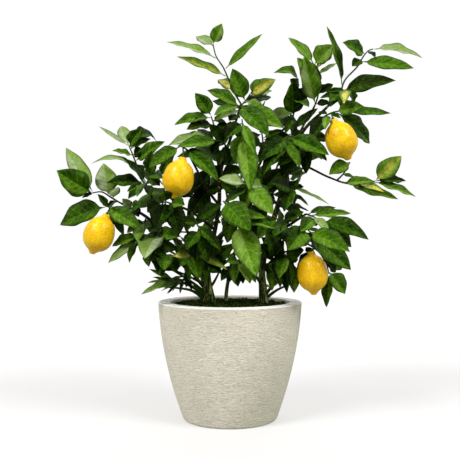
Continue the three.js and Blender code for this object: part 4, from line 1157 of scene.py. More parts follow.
def turned_mesh(name: str, profile: Sequence[tuple[float, float]], sides: int) -> bpy.types.Mesh:
    """A closed mesh turned about the z axis.

    Args:
        name: The mesh's name.
        profile: Radius and height, from one point on the axis to another, outside on the right.
        sides: How many faces there are round it.

    Returns:
        The mesh, with its share of the profile on its points as the x of "rind".
    """
    rings = profile[1:-1]
    turns = np.arange(sides) * 2 * math.pi / sides
    points = [(0.0, 0.0, profile[0][1])]
    for radius, height in rings:
        points += [(radius * math.cos(a), radius * math.sin(a), height) for a in turns]
    points.append((0.0, 0.0, profile[-1][1]))
    last = len(points) - 1
    faces = []
    for j in range(sides):
        k = (j + 1) % sides
        faces.append((0, 1 + k, 1 + j))
        for i in range(len(rings) - 1):
            a = 1 + i * sides
            faces.append((a + j, a + k, a + sides + k, a + sides + j))
        a = 1 + (len(rings) - 1) * sides
        faces.append((a + j, a + k, last))
    mesh = bpy.data.meshes.new(name)
    mesh.from_pydata(points, [], faces)
    shares = np.repeat(np.arange(1, len(rings) + 1), sides) / (len(rings) + 1)
    marks = np.zeros((len(points), 3), np.float32)
    marks[:, 0] = np.concatenate([[0.0], shares, [1.0]])
    mark_points(mesh, "rind", marks)
    return mesh


def relief_tree() -> GrowthTree:
    """Geometry Nodes that raise a surface by stretched noise and paint it.

    Returns:
        The tree, with inputs for the size and height of its strokes and swells.
    """
    tree = GrowthTree("relief", {
        "Stretch": (100.0,) * 3, "Depth": 0.0005, "Swell scale": 20.0, "Swell": 0.0005,
        "Material": None,
    })
    place = tree.place()
    wander = tree.vector(0.0, 0.0, tree.noise(place, 40, 1) * 9.0)
    fine = tree.noise(place * tree.given("Stretch") + wander, 1.0, 3, 0.6)
    broad = tree.noise(place, tree.given("Swell scale"), 1)
    height = (fine - 0.6) * tree.given("Depth") + (broad - 0.6) * tree.given("Swell")
    z = place.parts()[2]
    moved = tree.swell(tree.given("Geometry"), height * z.rise(0.0005, 0.006))
    tree.end(tree.paint(tree.real(moved), tree.given("Material")))
    return tree


# ---- planter
@dataclass
class Planter:
    """The cement-finished pot and the soil that fills it, in millimetres."""

    height: float = 232
    rim_radius: float = 143
    mouth_radius: float = 118
    base_radius: float = 93
    edge: float = 3
    flare: float = 0.3793
    bow: float = 0.000706
    floor: float = 16
    soil_edge: float = 226
    soil_crown: float = 232.5
    gap: float = 0.7
    ring_step: float = 1.05
    inner_knees: tuple = (185, 110, 50)
    sides: int = 320
    soil_rings: int = 44
    soil_sides: int = 120
    crumbs: float = 26000.0
    crumb_size: float = 0.0028
    crumb_least: float = 0.35
    crumb_shape: tuple = (1.0, 0.8, 0.62)

    def outer(self, z: float) -> float:
        """The pot's outer radius at a height."""
        return self.base_radius + self.flare * z - self.bow * z * z

    def pot_profile(self) -> list[tuple[float, float]]:
        """Radius and height of the pot's section, from the underside's middle to the floor's.

        Returns:
            The section's points, in metres.
        """
        wall = self.rim_radius - self.mouth_radius
        edge = self.edge
        foot, shoulder = self.outer(0), self.height - edge
        rim, mouth = self.rim_radius - edge, self.mouth_radius + edge
        base = [(0, 0), (foot * 0.5, 0), (foot - edge, 0), (foot - 1, 0.7)]
        side = [(self.outer(z), z) for z in np.arange(edge, shoulder, self.ring_step)]
        lip = [(rim + edge * math.cos(a), shoulder + edge * math.sin(a))
               for a in np.linspace(0.1, math.pi / 2, 6)]
        top = [(r, self.height) for r in np.linspace(rim - 2, mouth, 9)]
        inner = [(mouth - edge * math.sin(a), shoulder + edge * math.cos(a))
                 for a in np.linspace(0.3, math.pi / 2, 5)]
        well = [(self.mouth_radius - 0.6 * k, shoulder - 3 * k) for k in (1, 2, 3)]
        deep = [(self.outer(z) - wall, z) for z in (*self.inner_knees, self.floor)]
        section = [*base, *side, *lip, *top, *inner, *well, *deep, (0, self.floor)]
        return [(r * MM, z * MM) for r, z in section]

    def soil_profile(self) -> list[tuple[float, float]]:
        """Radius and height of the soil's section, from its underside's middle to its crown.

        Returns:
            The section's points, in metres.
        """
        wall = self.rim_radius - self.mouth_radius
        start = self.floor + 0.3
        side = [(self.outer(z) - wall - self.gap, z) for z in (start, 50, 110, 185, 215)]
        reach = self.mouth_radius - self.gap
        rings = [reach * (1 - k / self.soil_rings) for k in range(self.soil_rings)]
        top = [(radius, self.crown(radius)) for radius in rings]
        return [(r * MM, z * MM) for r, z in [(0, start), *side, *top, (0, self.soil_crown)]]

    def crown(self, radius: float) -> float:
        """The height of the soil at a distance from the middle."""
        share = radius / (self.mouth_radius - self.gap)
        return self.soil_crown - (self.soil_crown - self.soil_edge) * share ** 2

    def crumb_tree(self) -> GrowthTree:
        """Geometry Nodes that roughen the soil's top and scatter crumbs over it.

        Returns:
            The tree.
        """
        tree = GrowthTree("soil_crumbs", {
            "Density": self.crumbs, "Crumb size": self.crumb_size, "Seed": 4, "Material": None,
        })
        place = tree.place()
        z = place.parts()[2]
        top = z.rise((self.soil_edge - 4) * MM, self.soil_edge * MM)
        lift = (tree.noise(place, 60, 3, 0.6) - 0.58) * top * 0.016
        rough = tree.push(tree.given("Geometry"), tree.vector(0.0, 0.0, lift))
        spots = tree.add("GeometryNodeDistributePointsOnFaces", {}, {
            "Mesh": rough, "Selection": z.above((self.soil_edge - 3) * MM),
            "Density": tree.given("Density"), "Seed": tree.given("Seed"),
        })
        ball = tree.add("GeometryNodeMeshIcoSphere", {}, {"Radius": 1.0, "Subdivisions": 1})
        size = tree.given("Crumb size")
        grown = tree.add("FunctionNodeRandomValue", {"data_type": "FLOAT"}, {
            "Min": size * self.crumb_least, "Max": size, "Seed": 7,
        })
        scale = tree.vector(grown, grown, grown) * self.crumb_shape
        turn = tree.add("FunctionNodeRandomValue", {"data_type": "FLOAT_VECTOR"}, {
            "Max": (6.28, 6.28, 6.28), "Seed": tree.given("Seed"),
        })
        crumbs = tree.add("GeometryNodeInstanceOnPoints", {}, {
            "Points": spots, "Instance": ball, "Scale": scale, "Rotation": turn,
        })
        tree.end(tree.paint(tree.real(tree.join(rough, crumbs)), tree.given("Material")))
        return tree

    def build(self, relief: GrowthTree) -> None:
        """Makes and dresses the pot and the soil.

        Args:
            relief: The tree that brushes the cement's strokes.
        """
        pot = relief.run("cement_pot", turned_mesh("pot", self.pot_profile(), self.sides), {
            "Stretch": (90.0, 90.0, 460.0), "Depth": 0.0006, "Swell scale": 14.0, "Swell": 0.0006,
            "Material": CementFinish().material(),
        })
        place_piece(pot, "pot")
        bed = turned_mesh("soil", self.soil_profile(), self.soil_sides)
        soil = self.crumb_tree().run("soil_bed", bed, {"Material": SoilFinish().material()})
        place_piece(soil, "soil")


def keep_inside(piece: bpy.types.Object) -> None:
    """Draws the points of a piece that stand out of the frame's box back onto it.

    Args:
        piece: The finished piece.
    """
    places = np.empty(len(piece.data.vertices) * 3, np.float32)
    piece.data.vertices.foreach_get("co", places)
    low, high = (np.array(corner, np.float32) for corner in CAD_BOX)
    piece.data.vertices.foreach_set("co", np.clip(places.reshape(-1, 3), low, high).ravel())
    piece.data.update()


def place_piece(piece: bpy.types.Object, node: str) -> None:
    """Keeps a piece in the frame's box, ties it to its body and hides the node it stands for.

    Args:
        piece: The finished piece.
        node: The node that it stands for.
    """
    keep_inside(piece)
    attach(piece, "root")
    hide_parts(node)
    log.info("%s: %d faces", piece.name, len(piece.data.polygons))


# ---- shoots and blades
@dataclass
class Seedbed:
    """The points that a growth tree starts from: runs of shoot, and one point for each leaf."""

    points: list[Vector] = field(default_factory=list)
    edges: list[tuple[int, int]] = field(default_factory=list)
    girths: list[float] = field(default_factory=list)
    marks: list[dict[str, tuple]] = field(default_factory=list)

    def add_run(self, points: Sequence[Vector], girths: Sequence[float]) -> None:
        """Adds a shoot.

        Args:
            points: The points along its middle.
            girths: Its radius at each point, in metres.
        """
        start = len(self.points)
        self.points += points
        self.girths += girths
        self.marks += [{} for _ in points]
        self.edges += [(start + i, start + i + 1) for i in range(len(points) - 1)]

    def add_smooth(self, route: Sequence[Vector], steps: int,
                   girth: Callable[[float], float]) -> None:
        """Adds a shoot along the smooth curve through a route.

        Args:
            route: The points that it passes through.
            steps: How many straight pieces it has.
            girth: Its radius at a share of the route, in metres.
        """
        shares = [i / steps for i in range(steps + 1)]
        self.add_run([smooth_along(route, share) for share in shares],
                     [girth(share) for share in shares])

    def add_leaf(self, base: Vector, marks: dict[str, tuple]) -> None:
        """Adds a leaf.

        Args:
            base: Where it is rooted.
            marks: The vectors that shape it, by name.
        """
        self.points.append(base)
        self.girths.append(0.0)
        self.marks.append({"root": tuple(base), **marks})

    def mesh(self, name: str) -> bpy.types.Mesh:
        """The bed as a mesh whose points carry their numbers.

        Args:
            name: The mesh's name.

        Returns:
            The mesh, with no face.
        """
        mesh = bpy.data.meshes.new(name)
        mesh.from_pydata([tuple(p) for p in self.points], self.edges, [])
        mesh.attributes.new("girth", "FLOAT", "POINT").data.foreach_set("value", self.girths)
        for label in BLADE_MARKS:
            values = [mark.get(label, (0, 0, 0)) for mark in self.marks]
            mark_points(mesh, label, np.array(values, np.float32))
        return mesh


# What a leaf's point carries: where it is rooted, its run to the tip, its upper side, its
# width, arch and fold, its sweep, twist and wave, its tone, yellowing and phase, and the
# painted light that makes its lower half lighter and its upper half darker.
BLADE_MARKS = ("root", "reach", "facing", "size", "bend", "look", "halves")


@dataclass(frozen=True)
class BladeShape:
    """How a leaf's outline and thickness run from its root to its tip."""

    rows: int = 17
    columns: int = 5
    petiole: float = 0.12
    fullness: float = 0.6
    taper: float = 0.98
    stalk: float = 0.00085
    thickness: float = 0.0005

    def full(self) -> float:
        """What brings the outline's widest point to 1."""
        a, b = self.fullness, self.taper
        return (a + b) ** (a + b) / (a ** a * b ** b)


def shoot_part(tree: GrowthTree) -> Wire:
    """Wires the runs of shoot as round tubes of their own girth.

    Args:
        tree: The tree that holds the nodes.

    Returns:
        The tubes' wire.
    """
    curve = tree.add("GeometryNodeMeshToCurve", {}, {"Mesh": tree.given("Geometry")})
    circle = {"Resolution": tree.given("Sides"), "Radius": 1.0}
    ring = tree.add("GeometryNodeCurvePrimitiveCircle", {}, circle)
    tube = tree.add("GeometryNodeCurveToMesh", {}, {
        "Curve": curve, "Profile Curve": ring, "Scale": tree.read("girth", "FLOAT"),
        "Fill Caps": True,
    })
    bumps = (tree.noise(tree.place(), 150, 2) - 0.5) * tree.given("Bark depth")
    return tree.paint(tree.swell(tube, bumps), tree.given("Shoot"))


def shoot_tree() -> GrowthTree:
    """Geometry Nodes that grow bare shoots.

    Returns:
        The tree.
    """
    tree = GrowthTree("shoots", {"Sides": 10, "Bark depth": 0.0006, "Shoot": None})
    tree.end(tree.real(shoot_part(tree)))
    return tree


def blade_sheet(tree: GrowthTree, shape: BladeShape, below: float) -> Wire:
    """Wires one side of a flat blade, marked with its share along, across and below.

    Args:
        tree: The tree that holds the nodes.
        shape: The blade's outline and thickness.
        below: 0 for the upper side and 1 for the lower.

    Returns:
        The sheet's wire.
    """
    grid = tree.add("GeometryNodeMeshGrid", {}, {
        "Size X": 1.0, "Size Y": 2.0, "Vertices X": shape.rows, "Vertices Y": shape.columns,
    })
    x, y, _ = tree.place().parts()
    sheet = tree.store(grid, "blade", tree.vector(x + 0.5, y, below))
    return sheet if below else tree.add("GeometryNodeFlipFaces", {}, {"Mesh": sheet})


def blade_place(tree: GrowthTree, shape: BladeShape) -> Wire:
    """Wires where each point of a blade lies, from what the leaf carries.

    Args:
        tree: The tree that holds the nodes.
        shape: The blade's outline and thickness.

    Returns:
        The wire of the point's place.
    """
    along, across, below = tree.read("blade").parts()
    width, arch, fold = tree.read("size").parts()
    sweep, twist, wave = tree.read("bend").parts()
    phase = tree.read("look").parts()[2]
    reach, facing = tree.read("reach"), tree.read("facing")
    length, middle = reach.length(), along * (1.0 - along) * 4.0
    roll = twist * (along - 0.5)
    flat = reach.unit().cross(facing)
    side = flat * roll.cosine() + facing * roll.sine()
    over = facing * roll.cosine() - flat * roll.sine()
    x = ((along - shape.petiole) / (1.0 - shape.petiole)).at_least(0.0).at_most(1.0)
    ends = middle.above(0.001)
    outline = width * 0.5 * shape.full() * x ** shape.fullness * (1.0 - x) ** shape.taper
    half = outline.at_least(shape.stalk) * ends
    reachout = across.size()
    valley = half * fold.sine() * reachout ** 1.25
    ripple = half * wave * (along * 16.0 + phase * 6.28 + across * 1.2).sine() * reachout ** 2.0
    rib = tree.read("root") + reach * along + facing * (arch * length * middle)
    rib = rib + flat * (sweep * length * middle)
    thick = (shape.thickness + (1.0 - x.above(0.0)) * shape.thickness * 2.0) * ends
    drop = below * thick * (1.0 - reachout ** 2.0)
    return rib + side * (across * half * fold.cosine()) + over * (valley + ripple - drop)


def spray_tree(shape: BladeShape) -> GrowthTree:
    """Geometry Nodes that grow a spray: its shoots, and a shaped blade at every leaf's point.

    Args:
        shape: The blade's outline and thickness.

    Returns:
        The tree.
    """
    tree = GrowthTree("spray", {"Sides": 8, "Bark depth": 0.0005, "Shoot": None, "Blade": None})
    leaf = tree.read("size").length().above(0.0)
    bed = {"Mesh": tree.given("Geometry"), "Selection": leaf}
    spots = tree.add("GeometryNodeMeshToPoints", {}, bed)
    flat = tree.join(blade_sheet(tree, shape, 0.0), blade_sheet(tree, shape, 1.0))
    copies = tree.add("GeometryNodeInstanceOnPoints", {}, {"Points": spots, "Instance": flat})
    bent = tree.add("GeometryNodeSetPosition", {}, {
        "Geometry": tree.real(copies), "Position": blade_place(tree, shape),
    })
    closed = tree.add("GeometryNodeMergeByDistance", {}, {"Geometry": bent, "Distance": WELD})
    green = tree.paint(closed, tree.given("Blade"))
    tree.end(tree.join(shoot_part(tree), green))
    return tree


# ---- stems
@dataclass
class Stem:
    """A bark-covered stem and its limbs."""

    name: str
    limbs: list[list[Vector]]
    girths: list[list[float]]
    steps: int = 7
    sides: int = 14
    voxel: float = 0.0009

    @classmethod
    def read(cls, name: str, limbs: Sequence) -> "Stem":
        """A stem from its limbs in the layout."""
        routes = [[EYE.place(point) for point in limb] for limb in limbs]
        return cls(name, routes, [[point[3] * MM for point in limb] for limb in limbs])

    def bed(self) -> Seedbed:
        """The stem's limbs as smooth runs.

        Returns:
            The bed that its tree grows from.
        """
        bed = Seedbed()
        for route, girths in zip(self.limbs, self.girths):
            bed.add_smooth(route, (len(route) - 1) * self.steps, lambda share, girths=girths: float(
                np.interp(share * (len(girths) - 1), range(len(girths)), girths)))
        return bed

    def build(self, tree: GrowthTree, bark: bpy.types.Material) -> None:
        """Grows the stem, joins its limbs into one skin and dresses it.

        Args:
            tree: The tree that grows bare shoots.
            bark: The bark's material.
        """
        values = {"Sides": self.sides, "Shoot": bark}
        piece = tree.run(self.name + "_bark", self.bed().mesh(self.name), values)
        remesh = piece.modifiers.new("skin", "REMESH")
        remesh.mode = "VOXEL"
        remesh.voxel_size = self.voxel
        remesh.use_smooth_shade = True
        settle_modifiers(piece)
        piece.data.materials.clear()
        piece.data.materials.append(bark)
        place_piece(piece, self.name)


# ---- sprays
class Tone(Enum):
    """How light a leaf is painted, partly painted shade and light, and whether it has yellowed."""

    DEEP = "d"
    SHADED = "s"
    MID = "m"
    LEAFY = "g"
    FLECKED = "f"
    BRIGHT = "b"
    PALE = "p"
    YELLOWED = "y"

    def level(self) -> float:
        """The tone's place on the ramp of greens."""
        return TONE_LEVELS[self.value]


# The low levels paint shade on leaves in the bush's shadow, the high ones painted light and sheen.
TONE_LEVELS = {
    "s": 0.05, "d": 0.2, "m": 0.41, "g": 0.51, "f": 0.5, "b": 0.59, "y": 0.6, "p": 0.83,
}
# The tones that a leaf with no letter may have, and the darker ones of a small shaded leaf,
# which paint the shade deep in the bush.
GROWN_TONES = [Tone.DEEP, Tone.DEEP, Tone.MID, Tone.MID, Tone.BRIGHT]
SHADED_TONES = [Tone.SHADED, Tone.DEEP, Tone.MID]


@dataclass
class Leaf:
    """One leaf of the plan: where it is rooted, its run to the tip and how it lies."""

    share: float
    base: Vector
    reach: Vector
    width: float
    turn: float
    arch: float
    fold: float
    tone: Tone = Tone.MID

    def axes(self) -> tuple[Vector, Vector]:
        """The blade's run at length 1, and its upper side.

        Returns:
            The run and the upper side, at right angles to each other.
        """
        run = self.reach.normalized()
        shown = VIEWER - run * VIEWER.dot(run)
        face = (shown if shown.length > 0.2 else UP - run * UP.dot(run)).normalized()
        over = run.cross(face)
        over = -over if over.z < -0.001 else over
        turn = math.radians(self.turn)
        return run, over * math.cos(turn) + face * math.sin(turn)

    def sheet(self) -> BVHTree:
        """The blade past its own twig as a plain folded sheet, for telling what it would cross.

        Returns:
            The sheet, ready to be laid against other surfaces.
        """
        run, upper = self.axes()
        side = run.cross(upper)
        length = self.reach.length
        points = []
        for share, spread in SHEET_OUTLINE:
            rise = 4 * self.arch * length * share * (1 - share)
            middle = self.base + self.reach * share + upper * rise
            half = 0.5 * self.width * spread
            points += [middle + (side * way + upper * SHEET_LIFT) * half for way in (-1, 1)]
            points.append(middle)
        faces = [(i + edge, i + 2, i + 5, i + 3 + edge)
                 for i in range(0, len(points) - 3, 3) for edge in (0, 1)]
        return BVHTree.FromPolygons(points, faces)


@dataclass(frozen=True)
class Habit:
    """How the growth rule's leaves stand, in degrees and shares; "play" is drawn by chance.

    longest_at is twice the share of the twig where leaves are longest; far_side is the depth in
    millimetres past which they turn the other way.
    """

    start: float = 0.15
    swing: float = 0.4
    width: float = 0.46
    spread: float = 75
    spread_fall: float = 35
    spread_play: float = 20
    length: float = 0.85
    length_play: float = 0.3
    shorter_at_ends: float = 0.25
    longest_at: float = 1.1
    turn: float = 10
    turn_play: float = 50
    far_side: float = 20
    droop: float = 0.25
    droop_play: float = 0.2


@dataclass(frozen=True)
class Play:
    """How far leaves differ by chance from their laid-out shape, and the least of each trait."""

    tone: float = 0.12
    yellow: float = 0.1
    yellow_from: float = 0.7
    flecks: float = 0.34
    # Painted light across the fold: the least and the chance share by which one half is lighter.
    painted_half_light_least: float = 0.04
    halves: float = 0.1
    arch: float = 0.03
    fold_least: float = 10
    fold: float = 12
    sweep: float = 0.05
    twist: float = 0.5
    wave_least: float = 0.07
    wave: float = 0.12


HABIT, PLAY = Habit(), Play()


@dataclass
class Spray:
    """A leafy spray: its twig, its leaves and, on some, a lemon's stalk."""

    name: str
    seed: int
    points: list[Vector]
    smooth: list[Vector]
    tips: Sequence
    rule: Sequence[float]
    tones: str
    runners: list[list[Vector]]
    undergrowth: Sequence
    fold: float = 18
    folded_from: float = 37
    arch: float = 0.04
    shade_turn: float = 60
    twig_radius: float = 1.9
    twig_taper: float = 0.75
    twig_steps: int = 6
    runner_radius: float = 4.0
    runner_taper: float = 0.22
    runner_steps: int = 12

    @classmethod
    def read(cls, line: Sequence, index: int, stems: dict[str, Stem]) -> "Spray":
        """A spray from its line in the layout.

        Args:
            line: Name, stem, limb, share, route, tips, rule and tones.
            index: The line's place in the layout, from 0.
            stems: The stems by name.

        Returns:
            The spray.
        """
        name, stem, limb, share, route, tips, rule, tones = line
        limb_route = stems[stem].limbs[limb]
        rest = [EYE.place(point) for point in route]
        plain = [point_along(limb_route, share), *rest]
        smooth = [smooth_along(limb_route, share), *rest]
        runners = [[EYE.place(point) for point in runner] for runner in RUNNERS.get(name, [])]
        shaded = UNDERGROWTH.get(name, [])
        return cls(name, index + 1, plain, smooth, tips, rule, tones, runners, shaded)

    def tip_choices(self, tip: Sequence[float]) -> list[Leaf]:
        """The ways in which a leaf with a laid-out tip may lie, in order of preference.

        Args:
            tip: The leaf's row in the layout.

        Returns:
            A leaf for each nudge of its depth.
        """
        share, across, down, depth, width, turn = tip[:6]
        arch = tip[6] if len(tip) > 6 else self.arch
        base = point_along(self.points, share)
        fold = self.fold if width >= self.folded_from else 0.0
        tops = [EYE.place((across, down, depth + nudge)) for nudge in TIP_NUDGES]
        return [Leaf(share, base, top - base, width * MM, turn, arch, fold) for top in tops]

    def rule_choices(self, i: int) -> list[Leaf]:
        """The ways in which leaf i of the growth rule may lie, in order of preference.

        Args:
            i: The leaf's number in the rule, from 0.

        Returns:
            A leaf for each nudge of its turn and length.
        """
        count, length, phase = self.rule
        share = HABIT.start + (1 - HABIT.start) * (i + 0.5) / count
        base = point_along(self.points, share)
        run = point_along(self.points, share + 0.05) - point_along(self.points, share - 0.05)
        run.normalize()
        a, b, c, e = (draw(self.seed, 10 * i + k) for k in range(4))
        spread = HABIT.spread - HABIT.spread_fall * share + HABIT.spread_play * (a - 0.5)
        spread = math.radians(spread)
        taper = 1 - HABIT.shorter_at_ends * abs(2 * share - HABIT.longest_at)
        span = length * MM * (HABIT.length + HABIT.length_play * c) * taper
        side_sign = -1 if base.y > HABIT.far_side * MM else 1
        turn = side_sign * (HABIT.turn + HABIT.turn_play * e)
        choices = []
        for swing, shrink in RULE_NUDGES:
            angle = 2 * math.pi * (phase + HABIT.swing * i + swing)
            side = Vector((math.cos(angle), math.sin(angle), 0))
            side = (side - run * side.dot(run)).normalized()
            way = run * math.cos(spread) + side * math.sin(spread)
            way.z -= HABIT.droop + HABIT.droop_play * b
            reach = way.normalized() * span * shrink
            width = span * shrink * HABIT.width
            choices.append(Leaf(share, base, reach, width, turn, self.arch, 0.0))
        return choices

    def leaves(self, solid: "SolidPoints", thicket: "Thicket") -> list[Leaf]:
        """The leaves as they stand in the solid, and the small shaded ones.

        Args:
            solid: The points of the spray's solid.
            thicket: What the small leaves have to stay clear of.

        Returns:
            The leaf that the solid holds for each laid-out tip and each leaf of the rule, then
            the small ones that find a clear place.
        """
        rows = [self.tip_choices(tip) for tip in self.tips]
        rows += [self.rule_choices(i) for i in range(self.rule[0])]
        shaded = [self.shade_choices(tip) for tip in self.undergrowth]
        return [*self.picked(rows, solid.nearest_choice, self.tone),
                *self.picked(shaded, thicket.first_clear, self.shaded_tone)]

    def picked(self, rows: Sequence[list[Leaf]], pick: Callable[[list[Leaf]], Leaf | None],
               tone: Callable[[int], Tone]) -> list[Leaf]:
        """The leaf that is picked from each row of choices, with its tone.

        Args:
            rows: The ways in which each leaf may lie, in order of preference.
            pick: What picks one of them, or None.
            tone: What gives the tone of a leaf by its number.

        Returns:
            The leaves that have a place.
        """
        found = []
        for k, choices in enumerate(rows):
            leaf = pick(choices)
            if leaf is None:
                log.info("%s: leaf %d of %d finds no place", self.name, k, len(rows))
                continue
            leaf.tone = tone(k)
            found.append(leaf)
        return found

    def shade_choices(self, tip: Sequence[float]) -> list[Leaf]:
        """The ways in which a small shaded leaf may lie, in order of preference.

        Args:
            tip: The leaf's row in the layout.

        Returns:
            A leaf for each turn and nudge of its depth.
        """
        turn = tip[5] if len(tip) > 5 else self.shade_turn
        return [leaf for swing in SHADE_TURNS
                for leaf in self.tip_choices([*tip[:5], turn + swing])]

    def tone(self, k: int) -> Tone:
        """The tone of leaf k: laid out by letter, or drawn where no letter is left."""
        return Tone(self.tones[k]) if k < len(self.tones) else self.drawn(GROWN_TONES, 900 + k)

    def shaded_tone(self, k: int) -> Tone:
        """The tone of small shaded leaf k."""
        return self.drawn(SHADED_TONES, 700 + k)

    def drawn(self, tones: Sequence[Tone], place: int) -> Tone:
        """One of several tones, by the spray's draw at a place."""
        return tones[int(draw(self.seed, place) * len(tones))]

    def marks(self, leaf: Leaf, k: int) -> dict[str, tuple]:
        """The vectors that shape leaf k on its point.

        Args:
            leaf: The leaf.
            k: Its number in the spray, from 0.

        Returns:
            The vectors, by name.
        """
        a, b, c, e, f = (draw(self.seed + 60, 7 * k + i) for i in range(5))
        base = smooth_along(self.smooth, leaf.share)
        reach = leaf.base + leaf.reach - base
        run, upper = leaf.axes()
        level = leaf.tone.level() + PLAY.tone * (a - 0.5)
        drawn = PLAY.yellow * max(0.0, b - PLAY.yellow_from)
        yellow = {Tone.YELLOWED: 1.0, Tone.FLECKED: PLAY.flecks}.get(leaf.tone, drawn)
        fold = math.radians(leaf.fold if leaf.fold else PLAY.fold_least + PLAY.fold * c)
        # Painted light: the half that hangs lower is painted lighter, the upper one darker.
        half_light = math.copysign(PLAY.painted_half_light_least + PLAY.halves * c, -run.cross(upper).z)
        return {
            "halves": (half_light, 0.0, 0.0),
            "reach": tuple(reach),
            "facing": tuple(upper),
            "size": (leaf.width, leaf.arch + PLAY.arch * (e - 0.5), fold),
            "bend": (PLAY.sweep * (f - 0.5), PLAY.twist * (b - 0.5),
                     PLAY.wave_least + PLAY.wave * c),
            "look": (level, yellow, e),
        }

    def bed(self, solid: "SolidPoints", thicket: "Thicket") -> Seedbed:
        """The spray's twig and leaves as the points that the tree grows from.

        Args:
            solid: The points of the spray's solid.
            thicket: What its small shaded leaves have to stay clear of.

        Returns:
            The points.
        """
        bed = Seedbed()
        bed.add_smooth(self.smooth, (len(self.smooth) - 1) * self.twig_steps,
                       lambda share: (self.twig_radius - self.twig_taper * share) * MM)
        for runner in self.runners:
            places = range(self.runner_steps + 1)
            bed.add_run([smooth_along(runner, i / self.runner_steps) for i in places],
                        [(self.runner_radius - self.runner_taper * i) * MM for i in places])
        for k, leaf in enumerate(self.leaves(solid, thicket)):
            bed.add_leaf(smooth_along(self.smooth, leaf.share), self.marks(leaf, k))
        return bed


class SolidPoints:
    """The points of a node's solid, looked up by place."""

    reach = 0.00006

    def __init__(self, node: str) -> None:
        """Sorts the points of the named node.

        Args:
            node: The node's name.
        """
        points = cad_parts[node].data.vertices
        self.tree = KDTree(len(points))
        for point in points:
            self.tree.insert(point.co, point.index)
        self.tree.balance()

    def nearest_choice(self, choices: Sequence[Leaf]) -> Leaf | None:
        """The first choice whose tip is a point of the solid, or None.

        Args:
            choices: The ways in which a leaf may lie.

        Returns:
            The choice, or None.
        """
        for leaf in choices:
            if self.tree.find(leaf.base + leaf.reach)[2] < self.reach:
                return leaf
        return None


class Thicket:
    """The solids and the small leaves so far, as what the next small leaf may not cross."""

    def __init__(self) -> None:
        """Sorts the faces of every solid."""
        meshes = [node.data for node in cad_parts.values()]
        self.trees = [BVHTree.FromPolygons([point.co for point in mesh.vertices],
                                           [tuple(face.vertices) for face in mesh.polygons])
                      for mesh in meshes]

    def first_clear(self, choices: Sequence[Leaf]) -> Leaf | None:
        """The first choice that crosses nothing, which then counts as well, or None.

        Args:
            choices: The ways in which a small leaf may lie.

        Returns:
            The choice, or None.
        """
        for leaf in choices:
            sheet = leaf.sheet()
            if not any(tree.overlap(sheet) for tree in self.trees):
                self.trees.append(sheet)
                return leaf
        return None


# ---- lemons
@dataclass
class Lemon:
    """A hanging lemon and the stalk that carries it."""

    name: str
    spray: str
    share: float
    neck: Vector
    nose: Vector
    diameter: float
    gap: float = 0.3
    calyx_height: float = 1.8
    calyx: float = 0.0042
    stalk_radius: float = 1.5
    stalk_steps: int = 18
    rows: int = 84
    sides: int = 64
    profile: tuple = (
        (0, 0), (0.004, 0.17), (0.02, 0.24), (0.08, 0.29), (0.15, 0.56), (0.27, 0.84), (0.5, 1),
        (0.7, 0.93), (0.83, 0.68), (0.91, 0.36), (0.96, 0.23), (0.993, 0.15), (1, 0),
    )

    @classmethod
    def read(cls, line: Sequence) -> "Lemon":
        """A lemon from its line in the layout."""
        name, spray, share, neck, nose, diameter = line
        return cls(name, spray, share, EYE.place(neck), EYE.place(nose), diameter * MM)

    def add_stalk(self, bed: Seedbed, spray: Spray) -> None:
        """Adds the stalk and its flared calyx to the spray's bed.

        Args:
            bed: The bed that they are added to.
            spray: The spray that carries the lemon.
        """
        down = (self.nose - self.neck).normalized()
        foot = self.neck - down * self.gap * MM
        knee = foot - down * self.calyx_height * MM
        start = smooth_along(spray.smooth, self.share)
        bend = start.lerp(knee, 0.5) + Vector((0, 0, (knee - start).length * 0.12))
        bed.add_smooth([start, bend, knee, foot], self.stalk_steps,
                       lambda share: (self.stalk_radius + 0.5 * abs(2 * share - 1) ** 3) * MM)
        bed.add_run([knee - down * 1.2 * MM, knee, foot.lerp(knee, 0.4), foot],
                    [self.stalk_radius * MM, 2.4 * MM, self.calyx * 0.92, self.calyx])

    def build(self, relief: GrowthTree, rind: bpy.types.Material) -> None:
        """Turns the fruit, tilts it onto its axis and dresses it.

        Args:
            relief: The tree that roughens the rind.
            rind: The rind's material.
        """
        length = (self.nose - self.neck).length
        knots = [Vector((t, r, 0)) for t, r in self.profile]
        curve = [smooth_along(knots, i / self.rows) for i in range(self.rows + 1)]
        outline = [(max(p.y, 0.0) * self.diameter / 2, -p.x * length) for p in curve]
        outline = [(0.0, -length), *reversed(outline[1:-1]), (0.0, 0.0)]
        mesh = turned_mesh(self.name, outline, self.sides)
        axis = (self.neck - self.nose).normalized()
        turn = UP.rotation_difference(axis)
        mesh.transform(Matrix.Translation(self.neck) @ turn.to_matrix().to_4x4())
        piece = relief.run(self.name + "_fruit", mesh, {
            "Stretch": (300.0, 300.0, 300.0), "Depth": 0.0004, "Swell scale": 45.0, "Swell": 0.0012,
            "Material": rind,
        })
        place_piece(piece, self.name)


